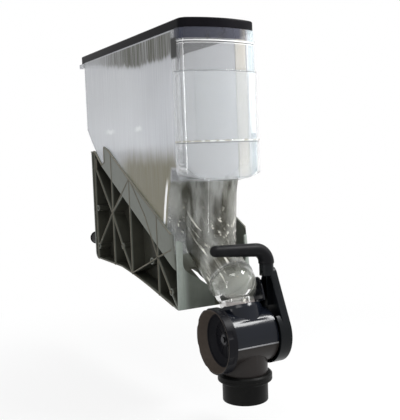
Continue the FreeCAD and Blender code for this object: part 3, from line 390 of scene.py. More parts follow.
@dataclass(frozen=True)
class ClearMoulding:
    """Clear plastic with a light haze, and with satin, vertically streaked side walls; painted highlights, shade and
    reflections lie on its walls.
    """

    name: str
    tint: Colour = (0.955, 0.965, 0.968)
    clear_roughness: float = 0.015
    satin_roughness: float = 0.13
    side_from: float = 0.0700
    side_to: float = 0.0735
    satin_behind: float = -0.478
    satin_fade: float = 0.02
    haze: float = 0.10
    satin_haze: float = 0.42
    haze_shade: Colour = (0.60, 0.61, 0.64)
    # Colour of the painted reflection of the bracket.
    bracket_reflection_shade: Colour = (0.20, 0.185, 0.125)
    # Colour of the painted reflection of the lid.
    lid_reflection_shade: Colour = (0.055, 0.055, 0.035)
    # Colour of the painted highlights.
    painted_highlight_colour: Colour = (1.0, 1.0, 1.0)
    ball: Colour = (0.0, -0.522, -0.040)
    seam: Colour = (-0.634, -0.306, 0.710)
    slope: float = math.radians(-35.2)
    has_satin: bool = True

    @staticmethod
    def line(recipe: Recipe, shade: Tap, cloud: Tap, where: Tap, off: Tap, half: float, tone: Colour,
             share: float) -> tuple[Tap, Tap]:
        """Colour and share with a painted line added where off is under half in size: a highlight for a pale tone,
        shade for a dark one.
        """
        mask = where * off.magnitude().band(half, half * 0.3)
        return recipe.blend(mask, shade, tone), cloud + mask * share

    def front(self, recipe: Recipe, shade: Tap, cloud: Tap, high: Tap, deep: Tap) -> tuple[Tap, Tap]:
        """Painted highlight and shade lines for the front wall's beads, flutes and near corner, its faint tints,
        painted shade under the lid, the neck below it with painted shade and glints, and the ball's tint and seam with
        a painted highlight beside the seam.

        Args:
            recipe: the material's recipe.
            shade: colour of the haze so far.
            cloud: share of the haze so far.
            high: height.
            deep: place front to back.

        Returns:
            The changed colour and share.
        """
        x = recipe.axis("X")
        ahead = deep.band(-0.476, -0.480)
        upper = ahead * high.band(0.145, 0.150)
        warm = upper * (x - 0.035).magnitude().band(0.0125, 0.0105)
        cool = upper * x.band(0.050, 0.054)
        shade = recipe.blend(warm, shade, (0.62, 0.58, 0.50))
        shade = recipe.blend(cool, shade, (0.48, 0.56, 0.60))
        cloud = cloud + warm * 0.14 + cool * 0.18
        # Painted lines of highlight and shade for the flutes and the near corner.
        for place, half, tone, share in ((0.0225, 0.0011, 0.16, 0.35), (0.0475, 0.0011, 0.20, 0.35),
                                         (-0.0735, 0.0013, 0.10, 0.40), (-0.0712, 0.0008, 1.0, 0.40)):
            shade, cloud = self.line(recipe, shade, cloud, upper, x - place, half, (tone, tone, tone * 1.02), share)
        # Painted highlight and shade lines stand in for the beads.
        beads = ((0.3805, 0.0012, 0.9, 0.60), (0.3765, 0.0010, 0.75, 0.30), (0.3785, 0.0008, 0.05, 0.45))
        for place, half, tone, share in beads:
            shade, cloud = self.line(recipe, shade, cloud, ahead, high - place, half, (tone, tone, tone), share)
        dim = recipe.noise((60.0, 30.0, 12.0), 2.0, 4.4)
        # Painted shade: the front is darkened just under the lid.
        painted_lid_darkness = ahead * high.band(0.3825, 0.3845) * x.band(0.070, 0.030)
        shade = recipe.blend(painted_lid_darkness, shade, (0.035, 0.038, 0.06))
        cloud = cloud + painted_lid_darkness * dim.band(0.25, 0.6) * 0.55
        # Painted shade and reflections of the bracket seen through the neck, with painted glint lines.
        neck = deep.band(-0.400, -0.430) * high.band(0.148, 0.138) * high.band(-0.075, -0.060)
        dx, dy, dz = x, deep - self.ball[1], high - self.ball[2]
        away = recipe.maths("SQRT", dx * dx + dy * dy + dz * dz)
        neck = neck * away.band(0.0405, 0.0440) * x.magnitude().band(0.0755, 0.0735)
        swirl = recipe.noise((34.0, 34.0, 11.0), 3.0, 7.3)
        lines = recipe.noise((120.0, 12.0, 150.0), 2.0, 3.9, self.slope).band(0.60, 0.70) * high.band(0.11, 0.06)
        painted_neck_shade = recipe.blend(swirl.band(0.42, 0.60), (0.055, 0.052, 0.036), (0.30, 0.30, 0.27))
        shade = recipe.blend(neck, shade, painted_neck_shade)
        shade = recipe.blend(neck * lines, shade, (0.95, 0.93, 0.85))
        cloud = cloud + neck * (0.26 + lines * 0.12 + swirl.band(0.60, 0.42) * 0.22)
        on_ball = away.band(0.0425, 0.0410) * dz.band(-0.034, -0.030)
        tilted = dx * self.seam[0] + dy * self.seam[1] + dz * self.seam[2]
        seam = on_ball * tilted.magnitude().band(0.0010, 0.0003)
        # Painted highlight beside the ball's seam.
        seam_highlight = on_ball * (tilted + 0.0016).magnitude().band(0.0008, 0.0002)
        skirt = dz.band(-0.022, -0.027) * dy.band(0.040, 0.035) * away.band(0.080, 0.075)
        for mask, tone in ((on_ball, (0.36, 0.37, 0.33)), (skirt, (0.36, 0.32, 0.31)), (seam, (0.06, 0.06, 0.06)),
                           (seam_highlight, (0.9, 0.9, 0.86))):
            shade = recipe.blend(mask, shade, tone)
        cloud = cloud + on_ball * 0.10 + seam * 0.45 + seam_highlight * 0.30 + skirt * 0.35
        return shade, cloud

    def side(self, recipe: Recipe, shade: Tap, cloud: Tap, high: Tap, deep: Tap) -> tuple[Tap, Tap, Tap, Tap]:
        """Satin side walls: streaks, a dark band under the lid painted as the lid's reflection, an olive zone above the
        bracket painted as the bracket's reflection, a painted dark corner, and painted highlight spots and a painted
        highlight line.

        Args:
            recipe: the material's recipe.
            shade: colour of the haze so far.
            cloud: share of the haze so far.
            high: height.
            deep: place front to back.

        Returns:
            The changed colour and share, the satin's mask and its streaks.
        """
        streak = recipe.noise((30.0, 620.0, 5.0), 3.0, 0.4)
        broad = recipe.noise((10.0, 110.0, 3.0), 2.0, 2.4)
        behind = deep.band(self.satin_behind, self.satin_behind + self.satin_fade)
        satin = recipe.axis("X").magnitude().band(self.side_from, self.side_to) * behind
        near = recipe.axis("X").band(-self.side_from, -self.side_to) * behind
        ragged = high + (streak - 0.5) * 0.030 + (broad - 0.5) * 0.022
        # Painted reflection of the dark bracket: an olive zone low on the near wall.
        bracket_reflection = near * ragged.band(0.212, 0.165) * deep.band(-0.17, -0.27)
        limit = (deep * 0.14 + 0.3985).larger(0.3560)
        # Painted reflection of the lid's dark underside: a dark band just under the lid.
        lid_reflection = near * (ragged - limit).band(-0.003, 0.006) * high.band(0.4005, 0.3990)
        lid_reflection = lid_reflection * (deep.band(-0.08, -0.26) * 0.6 + 0.4) * (streak.band(0.72, 0.42) * 0.7 + 0.3)
        # Painted shade: a dark strip at the near front corner under the lid.
        corner = recipe.axis("X").band(-0.066, -0.070) * (deep + 0.4755).magnitude().band(0.0125, 0.0095)
        corner = corner * high.band(0.350, 0.356) * high.band(0.3905, 0.3865)
        # Painted highlights: soft white spots in a row on the near wall.
        spots = ((deep + 0.165).magnitude().band(0.034, 0.004)).larger((deep + 0.312).magnitude().band(0.022, 0.003))
        glow = near * (high - 0.2405 + (broad - 0.5) * 0.008).magnitude().band(0.007, 0.001) * spots * 0.7
        # Painted highlight: a thin white vertical line on the near wall beside the neck.
        painted_edge_highlight = (recipe.axis("X") + 0.0745).magnitude().band(0.0012, 0.0005) * deep.band(-0.395, -0.405)
        painted_edge_highlight = painted_edge_highlight * high.band(0.152, 0.125) * high.band(0.045, 0.065)
        shade = recipe.blend(bracket_reflection * (0.55 + streak * 0.8), shade, self.bracket_reflection_shade)
        shade = recipe.blend(lid_reflection, shade, self.lid_reflection_shade)
        shade = recipe.blend(corner, shade, (0.02, 0.02, 0.02))
        shade = recipe.blend((glow * 0.8).larger(painted_edge_highlight), shade, self.painted_highlight_colour)
        cloud = cloud + satin * (self.satin_haze + (streak - 0.5) * 0.25) + bracket_reflection * 0.22 + lid_reflection * 0.35
        cloud = cloud.larger(corner * 0.9).larger(painted_edge_highlight * 0.95)
        return shade, cloud, satin, streak

    def material(self) -> bpy.types.Material:
        """Material of this finish. Lamps shine through it by a Transparent shader for shadow rays."""
        recipe = Recipe(self.name)
        high, deep = recipe.axis("Z"), recipe.axis("Y")
        wave = recipe.noise((22.0, 22.0, 9.0), 1.0, 6.0)
        rough: Tap | float = self.clear_roughness + wave.band(0.55, 0.8) * 0.02
        height = wave * 0.9
        tint: Tap = recipe.blend(wave, self.tint, tuple(c * 0.985 for c in self.tint))
        shade: Tap = recipe.blend(wave, self.haze_shade, tuple(c * 0.95 for c in self.haze_shade))
        cloud: Tap = wave * 0.04 + self.haze
        if self.has_satin:
            shade, cloud = self.front(recipe, shade, cloud, high, deep)
            shade, cloud, satin, streak = self.side(recipe, shade, cloud, high, deep)
            rough = rough + satin * (self.satin_roughness + (streak - 0.5) * 0.20)
            height = height + satin * streak * 0.5
        else:
            # Painted highlight with glints along the cover's ridge, a painted shadow line under it, and painted dark
            # lines at the pocket's top and along its lower rim.
            ridge = (high - 0.2105).magnitude().band(0.0014, 0.0004)
            under = (high - 0.2078).magnitude().band(0.0012, 0.0004)
            glint = recipe.noise((70.0, 70.0, 20.0), 2.0, 1.9).band(0.48, 0.60)
            shade = recipe.blend(ridge, shade, recipe.blend(glint, (0.45, 0.42, 0.34), (1.0, 1.0, 1.0)))
            shade = recipe.blend(under, shade, (0.16, 0.17, 0.17))
            top = (high - 0.3295).magnitude().band(0.0012, 0.0004)
            shade = recipe.blend(top, shade, (0.20, 0.21, 0.22))
            rim = high.band(0.1440, 0.1425)
            shade = recipe.blend(rim, shade, (0.10, 0.11, 0.10))
            cloud = cloud + ridge * 0.55 + under * 0.35 + top * 0.35 + rim * 0.4
        recipe.done(Base_Color=tint, Roughness=rough, Normal=recipe.relief(height, 0.00018), IOR=1.49,
                    Transmission_Weight=1.0)
        matt = recipe.tree.nodes.new("ShaderNodeBsdfPrincipled")
        recipe.feed(matt.inputs["Base Color"], shade)
        matt.inputs["Roughness"].default_value = 0.55
        matt.inputs["Specular IOR Level"].default_value = 0.3
        through = recipe.tree.nodes.new("ShaderNodeBsdfTransparent")
        through.inputs["Color"].default_value = (*(c * 0.94 for c in self.tint), 1.0)
        shadow = recipe.node("ShaderNodeLightPath", {}, {}, "Is Shadow Ray")
        clouded = recipe.mixed(cloud, recipe.shader.outputs[0], matt.outputs[0])
        recipe.show(recipe.mixed(shadow, clouded, through.outputs[0]))
        return recipe.material


@dataclass(frozen=True)
class SoftRubber:
    """Dull elastomer with a fine pebbled skin and a bloom of dust."""

    name: str
    dark: Colour
    bloom: Colour
    roughness: float = 0.62
    pebble: float = 0.0007

    def material(self) -> bpy.types.Material:
        """Material of this finish."""
        recipe = Recipe(self.name)
        fine = 1.0 / self.pebble
        pebbles = recipe.noise((fine, fine, fine), 1.0, 4.2)
        dust = recipe.noise((70.0, 70.0, 70.0), 4.0, 9.1).band(0.45, 0.75)
        colour = recipe.blend(dust * 0.5, self.dark, self.bloom)
        return recipe.done(Base_Color=colour, Roughness=self.roughness + dust * 0.12,
                           Normal=recipe.relief(pebbles, 0.00004), Specular_IOR_Level=0.10)


@dataclass(frozen=True)
class BrightSteel:
    """Turned steel with fine rings of tool marks and a few dull spots."""

    name: str
    shade: Colour = (0.50, 0.49, 0.47)
    roughness: float = 0.26

    def material(self) -> bpy.types.Material:
        """Material of this finish."""
        recipe = Recipe(self.name)
        marks = recipe.noise((2400.0, 300.0, 300.0), 2.0, 1.1)
        spots = recipe.noise((500.0, 500.0, 500.0), 2.0, 7.7).band(0.6, 0.8)
        colour = recipe.blend(spots, self.shade, tuple(c * 0.6 for c in self.shade))
        return recipe.done(Base_Color=colour, Metallic=1.0, Roughness=self.roughness + spots * 0.25 + marks * 0.08,
                           Normal=recipe.relief(marks, 0.00001))


# ---- surfaces


def shaded(mesh: bpy.types.Mesh, name: str, sharp: float) -> bpy.types.Object:
    """Object with a mesh that is smooth but for edges past an angle in degrees."""
    mesh.polygons.foreach_set("use_smooth", np.ones(len(mesh.polygons), bool))
    mesh.set_sharp_from_angle(angle=math.radians(sharp))
    mesh.update()
    made = bpy.data.objects.new(name, mesh)
    bpy.context.scene.collection.objects.link(made)
    return made


def cut_off(shape: bmesh.types.BMesh, point: Vector, normal: Vector, fill: bool = True) -> None:
    """Cut off what lies past a plane.

    Args:
        shape: the mesh.
        point: point on the plane.
        normal: direction of what goes.
        fill: close the cut.
    """
    everything = shape.verts[:] + shape.edges[:] + shape.faces[:]
    made = bmesh.ops.bisect_plane(shape, geom=everything, plane_co=point, plane_no=normal, clear_outer=True)
    if fill:
        rim = [item for item in made["geom_cut"] if isinstance(item, bmesh.types.BMEdge)]
        bmesh.ops.triangle_fill(shape, edges=rim, use_beauty=True, use_dissolve=False)


def leaning(points: np.ndarray, centre: Sequence[float]) -> np.ndarray:
    """Points about a centre, turned so that Z runs up the valve's inlet."""
    turn = np.array(Matrix.Rotation(-LEAN, 3, "X"))
    return points @ turn.T + np.array(centre)


class Skin:
    """Points and faces of a mesh, gathered as whole arrays."""

    def __init__(self) -> None:
        """Start with nothing."""
        self.points: list[np.ndarray] = []
        self.faces: list[np.ndarray] = []
        self.count = 0

    def grid(self, points: np.ndarray, wrap_rows: bool = False, wrap_columns: bool = True) -> np.ndarray:
        """Add a grid of points, and a four-sided face for each cell.

        Args:
            points: array of rows, columns and 3.
            wrap_rows: join the last row to the first.
            wrap_columns: join the last column to the first.

        Returns:
            The points' indices, in rows and columns.
        """
        rows, columns = points.shape[:2]
        index = self.count + np.arange(rows * columns).reshape(rows, columns)
        self.points.append(points.reshape(-1, 3))
        self.count += rows * columns
        down = np.roll(index, -1, 0) if wrap_rows else index[1:]
        here = index if wrap_rows else index[:-1]
        if not wrap_columns:
            cells = (here[:, :-1], here[:, 1:], down[:, 1:], down[:, :-1])
        else:
            cells = (here, np.roll(here, -1, 1), np.roll(down, -1, 1), down)
        self.faces.append(np.stack([c.ravel() for c in cells], 1))
        return index

    def cap(self, ring: np.ndarray, tip: np.ndarray) -> None:
        """Close a ring of indices with triangles to one point."""
        self.points.append(tip.reshape(1, 3))
        top = np.full(len(ring), self.count)
        self.count += 1
        self.faces.append(np.stack([ring, np.roll(ring, -1), top], 1))

    def closed(self, points: np.ndarray) -> None:
        """Add a grid, and close its first and last row to their middles."""
        index = self.grid(points)
        for end in (0, -1):
            self.cap(index[end], points[end].mean(0))

    def mesh(self, name: str) -> bpy.types.Mesh:
        """Blender mesh of what was gathered."""
        mesh = bpy.data.meshes.new(name)
        faces = [face for block in self.faces for face in block.tolist()]
        mesh.from_pydata(np.concatenate(self.points).tolist(), [], faces)
        return mesh

    def add_to(self, shape: bmesh.types.BMesh) -> None:
        """Add this mesh to a bmesh."""
        mesh = self.mesh("part")
        shape.from_mesh(mesh)
        bpy.data.meshes.remove(mesh)

    def piece(self, name: str, sharp: float = 40.0) -> bpy.types.Object:
        """Object with this mesh, its normals outward and its edges sharp past an angle.

        Args:
            name: the object's name.
            sharp: least angle of a sharp edge, in degrees.

        Returns:
            The object, linked to the scene.
        """
        mesh = self.mesh(name)
        shape = bmesh.new()
        shape.from_mesh(mesh)
        bmesh.ops.remove_doubles(shape, verts=shape.verts, dist=1e-7)
        bmesh.ops.recalc_face_normals(shape, faces=shape.faces)
        shape.to_mesh(mesh)
        shape.free()
        return shaded(mesh, name, sharp)


def softened(outline: Sequence[tuple[float, float, float]], steps: int = 6, closed: bool = True) -> np.ndarray:
    """Polyline with rounded corners.

    Each corner is replaced by an arc of its own radius that touches both of its sides: the arc
    starts radius / tan(half the corner's angle) before the corner.

    Args:
        outline: corners as first coordinate, second coordinate and radius.
        steps: points on each arc.
        closed: join the last corner to the first.

    Returns:
        Array of points, two numbers each.
    """
    corners = np.array([c[:2] for c in outline])
    made = []
    last = len(corners) - 1
    for i, (corner, radius) in enumerate(zip(corners, (c[2] for c in outline))):
        if radius == 0 or (not closed and i in (0, last)):
            made.append(corner[None])
            continue
        back = corners[i - 1] - corner
        ahead = corners[(i + 1) % len(corners)] - corner
        back_length, ahead_length = np.linalg.norm(back), np.linalg.norm(ahead)
        back, ahead = back / back_length, ahead / ahead_length
        half = math.acos(float(np.clip(back @ ahead, -1, 1))) / 2
        reach = min(radius / math.tan(half), 0.48 * back_length, 0.48 * ahead_length)
        radius = reach * math.tan(half)
        middle = (back + ahead) / np.linalg.norm(back + ahead)
        centre = corner + middle * radius / math.sin(half)
        start, end = corner + back * reach - centre, corner + ahead * reach - centre
        sweep = math.atan2(start[0] * end[1] - start[1] * end[0], float(start @ end))
        turn = np.linspace(0, sweep, steps)[:, None]
        side = np.array([-start[1], start[0]])
        made.append(centre + start * np.cos(turn) + side * np.sin(turn))
    return np.concatenate(made)


def lathed(profile: np.ndarray, centre: Vector, axis: str, count: int) -> np.ndarray:
    """Grid of a profile turned about an axis.

    A profile point (along, radius) at angle t is centre + along * axis + radius * (cos t, sin t)
    in the plane across the axis.

    Args:
        profile: points as along and radius.
        centre: point on the axis.
        axis: "X", "Y" or "Z".
        count: points round the turn.

    Returns:
        Array of profile points, count and 3.
    """
    turn = np.linspace(0, FULL_TURN, count, endpoint=False)
    along = np.repeat(profile[:, :1], count, 1)
    first = profile[:, 1:2] * np.cos(turn)
    second = profile[:, 1:2] * np.sin(turn)
    order = {"X": (along, first, second), "Y": (second, along, first), "Z": (first, second, along)}[axis]
    return np.stack(order, 2) + np.array(centre)


def swept(path: np.ndarray, radius: np.ndarray, across: np.ndarray, count: int) -> np.ndarray:
    """Grid of a round bar along a path.

    Args:
        path: points along the bar.
        radius: radius at each point.
        across: for each point, a unit vector across the path.
        count: points round the bar.

    Returns:
        Array of path points, count and 3.
    """
    along = np.gradient(path, axis=0)
    along /= np.linalg.norm(along, axis=1)[:, None]
    other = np.cross(along, across)
    turn = np.linspace(0, FULL_TURN, count, endpoint=False)[None, :, None]
    ring = across[:, None] * np.cos(turn) + other[:, None] * np.sin(turn)
    return path[:, None] + ring * radius[:, None, None]


# ---- pieces


@dataclass
class Workshop:
    """What every sub-assembly needs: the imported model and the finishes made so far."""

    frame: dict

    def __post_init__(self) -> None:
        """Start with no materials."""
        self.materials: dict[str, bpy.types.Material] = {}

    def dress(self, piece: bpy.types.Object, finish: object) -> None:
        """Give a piece one finish over all its faces."""
        if finish.name not in self.materials:
            self.materials[finish.name] = finish.material()
        slots = piece.data.materials
        if len(slots) == 0:
            slots.append(self.materials[finish.name])
        for i in range(len(slots)):
            slots[i] = self.materials[finish.name]

    def install(self, piece: bpy.types.Object, body: Body, slot: Slot, finish: object, *nodes: str) -> None:
        """Dress a new piece, and put it on its body in place of CAD nodes.

        Args:
            piece: the new object, in place.
            body: the group that it rides on.
            slot: the record's material slot; not used.
            finish: its finish.
            nodes: the CAD nodes that it stands for.
        """
        self.dress(piece, finish)
        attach(piece, body.value)
        if nodes:
            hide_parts(*nodes)
        log.info("%s: %d faces on %s", piece.name, len(piece.data.polygons), body.value)

    def keep(self, node: str, finish: object) -> None:
        """Leave a CAD node as it is, with a new finish."""
        self.dress(self.frame["nodes"][node], finish)
        log.info("%s: kept", node)

    def refined(self, node: str, name: str, edge: float, sharp: float = 32.0,
                move: Callable[[np.ndarray], np.ndarray] | None = None,
                carve: Callable[[bmesh.types.BMesh], None] | None = None) -> bpy.types.Object:
        """Copy of a CAD node's mesh with merged corners, joined flat faces and rounded edges.

        Args:
            node: the CAD node.
            name: the new object's name.
            edge: radius of the rounding on sharp edges, or 0.
            sharp: least angle of a sharp edge, in degrees.
            move: gives every point its new place, before the faces are made.
            carve: changes the mesh before it is shaded.

        Returns:
            The new object.
        """
        source = self.frame["nodes"][node].data
        points = np.zeros(len(source.vertices) * 3)
        source.vertices.foreach_get("co", points)
        points = points.reshape(-1, 3)
        corners = np.zeros(len(source.loops), int)
        source.loops.foreach_get("vertex_index", corners)
        _, first, inverse = np.unique(np.round(points * 1e6).astype(np.int64), axis=0, return_index=True,
                                      return_inverse=True)
        faces = inverse.ravel()[corners.reshape(-1, 3)]
        real = (faces[:, 0] != faces[:, 1]) & (faces[:, 1] != faces[:, 2]) & (faces[:, 0] != faces[:, 2])
        places = points[first] if move is None else move(points[first])
        mesh = bpy.data.meshes.new(name)
        mesh.from_pydata(places.tolist(), [], faces[real].tolist())
        shape = bmesh.new()
        shape.from_mesh(mesh)
        if carve is not None:
            carve(shape)
        if move is not None:
            bmesh.ops.remove_doubles(shape, verts=shape.verts, dist=1e-6)
        bmesh.ops.dissolve_limit(shape, angle_limit=math.radians(0.6), verts=shape.verts, edges=shape.edges)
        shape.to_mesh(mesh)
        shape.free()
        made = shaded(mesh, name, sharp)
        if edge:
            bevel = made.modifiers.new("rounding", "BEVEL")
            bevel.width = edge
            bevel.segments = 2
            bevel.limit_method = "ANGLE"
            bevel.angle_limit = math.radians(sharp)
            bevel.harden_normals = True
            bevel.use_clamp_overlap = True
        return made


@dataclass
class Hopper:
    """Clear bin, its label cover, and the lid that hinges on it."""

    shell_edge: float = 0.0007
    cover_edge: float = 0.0006
    lid_edge: float = 0.0004
    lip_low: float = 0.3985
    ball: Vector = Vector((0, -0.522, -0.040))
    ball_radius: float = 0.0403
    wall: float = 0.003
    spout_radius: float = 0.0305
    spout_cut: float = 0.016
    spout_length: float = 0.0434

    def shallow_lip(self, points: np.ndarray) -> np.ndarray:
        """Lid's points with the lip ending just under the rim."""
        points[:, 2] = np.maximum(points[:, 2], self.lip_low)
        return points

    def spout_points(self) -> np.ndarray:
        """Lower part of the elbow's ball and its spout, as a profile turned about the leaning axis.

        The radius of the ball at a depth d below its middle is sqrt(radius^2 - d^2), outside and
        inside, down to where it meets the spout.
        """
        inner = self.ball_radius - self.wall
        bore = self.spout_radius - self.wall
        outer_depth = np.linspace(self.spout_cut, math.sqrt(self.ball_radius ** 2 - self.spout_radius ** 2), 10)
        inner_depth = np.linspace(math.sqrt(inner ** 2 - bore ** 2), self.spout_cut, 10)
        outside = np.stack([-outer_depth, np.sqrt(self.ball_radius ** 2 - outer_depth ** 2)], 1)
        inside = np.stack([-inner_depth, np.sqrt(inner ** 2 - inner_depth ** 2)], 1)
        end = np.array([[-self.spout_length, self.spout_radius], [-self.spout_length, bore]])
        return leaning(lathed(np.concatenate([outside, end, inside]), ORIGIN, "Z", 96), self.ball)

    def new_spout(self, shape: bmesh.types.BMesh) -> None:
        """Swap the mesh below the ball for the narrow spout."""
        axis = Vector((0, math.sin(LEAN), math.cos(LEAN)))
        cut_off(shape, self.ball - axis * self.spout_cut, -axis, fill=False)
        skin = Skin()
        skin.grid(self.spout_points())
        skin.add_to(shape)

    def build(self, shop: Workshop) -> None:
        """Build and dress the pieces."""
        clear = ClearMoulding("streaked_clear_plastic")
        shell = shop.refined("hopper_body", "bin_shell", self.shell_edge, carve=self.new_spout)
        shop.install(shell, Body.BIN, Slot.CLEAR, clear, "hopper_body")
        cover = ClearMoulding("clear_cover_plastic", has_satin=False, haze=0.06)
        holder = shop.refined("label_holder", "label_cover", self.cover_edge)
        shop.install(holder, Body.BIN, Slot.CLEAR, cover, "label_holder")
        black = MouldedPlastic("satin_black_plastic", (0.003, 0.003, 0.004), (0.007, 0.006, 0.009), 0.34, specular=0.04)
        lid = shop.refined("lid", "lid_moulding", self.lid_edge, move=self.shallow_lip)
        shop.install(lid, Body.COVER, Slot.BLACK, black, "lid")


@dataclass
class Bracket:
    """Ribbed bracket halves, their screws and the standoffs behind."""

    edge: float = 0.0004
    outer_x: float = 0.0793
    front_y: float = -0.460
    length: float = 0.409
    top_z: float = 0.202
    height: float = 0.290
    corner: float = 0.0224
    low_corner: float = 0.004
    corner_top: float = 0.035
    plate: float = 0.003
    sunk: float = 0.0015
    proud: float = 0.0009
    rib: float = 0.0026
    rib_overlap: float = 0.35
    rib_taper: float = 0.7
    standoff_x: float = 0.059
    standoff_radius: float = 0.0145
    groove: float = 0.0015
    rim: float = 0.003
    standoff_length: float = 0.051
    bore: float = 0.0033
    spigot_radius: float = 0.007
    upper_edge: tuple = ((1.0, 0.0), (0.949, 0.0), (0.851, 0.103), (0.809, 0.085), (0.809, -0.031), (0.753, -0.007),
                         (0.477, 0.210), (0.095, 0.493), (0.05, 0.526))
    foot: tuple = ((0.97, 0.834), (0.62, 0.841), (0.455, 0.872), (0.293, 0.914), (0.146, 0.957), (0.05, 0.986))
    uprights: tuple = (0.958, 0.716, 0.489, 0.186)
    diagonals: tuple = (((0.932, 0.06), (0.932, 0.145), (0.724, 0.459), (0.606, 0.679), (0.491, 0.859)),
                        ((0.491, 0.205), (0.724, 0.459), (0.924, 0.710)),
                        ((0.466, 0.225), (0.315, 0.438), (0.186, 0.703), (0.061, 0.903)),
                        ((0.491, 0.859), (0.271, 0.745), (0.186, 0.697), (0.05, 0.632)))
    front_top: tuple = ((-74.5, 35.0), (-71.5, 35.7), (-67.8, 35.0), (-65.0, 33.1), (-63.6, 29.6), (-63.1, 16.1),
                        (-62.8, 0.8), (-60.0, -8.4), (-54.7, -16.6), (-44.7, -25.2), (-30.9, -34.1), (-20.7, -42.7),
                        (-12.4, -51.1), (-4.6, -59.8))

    def side_points(self, shares: Sequence[tuple[float, float]]) -> np.ndarray:
        """Y and Z of points given as shares along the bracket and down from its top."""
        pairs = np.array(shares)
        return np.stack([self.front_y + self.length * pairs[:, 0], self.top_z - self.height * pairs[:, 1]], 1)

    def ribbing(self, side: int) -> bpy.types.Object:
        """Raised rims and rib edges on one half's outer face."""
        top = np.array(sorted(self.upper_edge[5:]))
        lines = [self.side_points(self.upper_edge), self.side_points(self.foot)]
        lines[0][:, 1] -= self.rib / 2
        lines[1][:, 1] += self.rib / 2
        for share in self.uprights:
            high = float(np.interp(share, top[:, 0], top[:, 1])) + 0.006
            low = float(np.interp(share, *np.array(sorted(self.foot)).T))
            lines.append(self.side_points(((share, high), (share, low))))
        lines += [self.side_points(path) for path in self.diagonals]
        skin = Skin()
        x = side * np.array([self.outer_x - self.sunk, self.outer_x + self.proud])
        for line in lines:
            way = np.diff(line, axis=0)
            way /= np.linalg.norm(way, axis=1)[:, None]
            over = way * self.rib * self.rib_overlap
            cross = np.stack([-way[:, 1], way[:, 0]], 1) * self.rib / 2
            start, end = line[:-1] - over, line[1:] + over
            for a, b, c in zip(start, end, cross):
                t = c * self.rib_taper
                skin.closed(np.array([[[x[0], *(p - c)], [x[0], *(p + c)], [x[1], *(p + t)], [x[1], *(p - t)]]
                                      for p in (a, b)]))
        return skin.piece(f"bracket_{'left' if side < 0 else 'right'}_ribbing", 30.0)

    def front_plate(self, side: int) -> bpy.types.Object:
        """Front wall of one half, curved back at its outer corner, with a sweeping upper edge."""
        turn = np.radians(np.linspace(38, 90, 14))
        inward = np.concatenate([np.stack([np.cos(turn), np.sin(turn)], 1), np.tile([0.0, 1.0], (39, 1))])
        table = np.array(self.front_top) / 1000
        chamfer = 0.0006
        edges = []
        for radius in (self.low_corner, self.corner):
            centre = np.array([radius - self.outer_x, self.front_y + radius])
            arc = centre - (radius + 0.0004) * np.stack([np.cos(turn), np.sin(turn)], 1)
            flat_x = np.linspace(arc[-1, 0], -0.004, 40)[1:]
            edges.append(np.concatenate([arc, np.stack([flat_x, np.full_like(flat_x, arc[-1, 1])], 1)]))
        bottom, top = edges
        high = np.interp(top[:, 0], table[:, 0], table[:, 1])
        low = np.full(len(bottom), self.top_z - self.height)
        share = ((high - low) / (self.corner_top - low))[:, None]
        top = bottom + (top - bottom) * np.minimum(share, 1)
        ring = []
        for depth, height in ((0, chamfer), (chamfer, 0), (self.plate - chamfer, 0), (self.plate, chamfer)):
            ring.append(np.column_stack([bottom + inward * depth, low + height]))
        for depth, height in ((self.plate, chamfer), (self.plate - chamfer, 0), (chamfer, 0), (0, chamfer)):
            ring.append(np.column_stack([top + inward * depth, high - height]))
        grid = np.stack(ring, 1)
        grid[..., 0] *= -side
        skin = Skin()
        skin.closed(grid)
        return skin.piece(f"bracket_{'left' if side < 0 else 'right'}_front", 30.0)

    def rounded_corner(self, side: int) -> Callable[[bmesh.types.BMesh], None]:
        """Function that cuts the mesh along planes that touch the rounded front corner."""
        def carve(shape: bmesh.types.BMesh) -> None:
            """Cut and close the mesh at each plane."""
            for angle in (9, 27, 45, 63, 81):
                turn = math.radians(angle)
                out = Vector((side * math.cos(turn), -math.sin(turn), 0))
                high, low = (Vector((side * (self.outer_x - r), self.front_y + r, z)) + out * (r - 0.0005)
                             for r, z in ((self.corner, self.corner_top), (self.low_corner, self.top_z - self.height)))
                normal = Vector((-side * math.sin(turn), -math.cos(turn), 0)).cross(high - low).normalized()
                cut_off(shape, low, normal * (1 if normal.dot(out) > 0 else -1))
            bmesh.ops.recalc_face_normals(shape, faces=shape.faces)
        return carve

    def standoffs(self) -> bpy.types.Object:
        """Two grooved spacers: a closed profile turned about Y."""
        r, g, full = self.standoff_radius, self.standoff_radius - self.groove, -self.standoff_length
        profile = softened([(0, self.bore, 0.0004), (0, r, 0.0008), (-self.rim, r, 0.0004), (-self.rim, g, 0.0003),
                            (full + self.rim, g, 0.0003), (full + self.rim, r, 0.0004), (full, r, 0.0006),
                            (full, self.spigot_radius, 0.0002), (full - self.plate, self.spigot_radius, 0.0004),
                            (full - self.plate, self.bore, 0.0003)])
        skin = Skin()
        for side in (-1, 1):
            skin.grid(lathed(profile, Vector((side * self.standoff_x, 0, 0)), "Y", 72), wrap_rows=True)
        return skin.piece("standoff_spacers")

    def build(self, shop: Workshop) -> None:
        """Build and dress the pieces."""
        # Halves: outer faces painted paler as sheen with rubbing.
        grey = BracketPlastic("grey_bracket_plastic", (0.026, 0.026, 0.020), (0.044, 0.044, 0.034), 0.42,
                              specular=0.25, edge=(0.150, 0.160, 0.140))
        # Rims and rib edges get a paler copy of the bracket moulding: painted sheen, with some rubbing.
        rims = MouldedPlastic("pale_rim_sheen_plastic", (0.13, 0.12, 0.095), (0.20, 0.185, 0.15), 0.45)
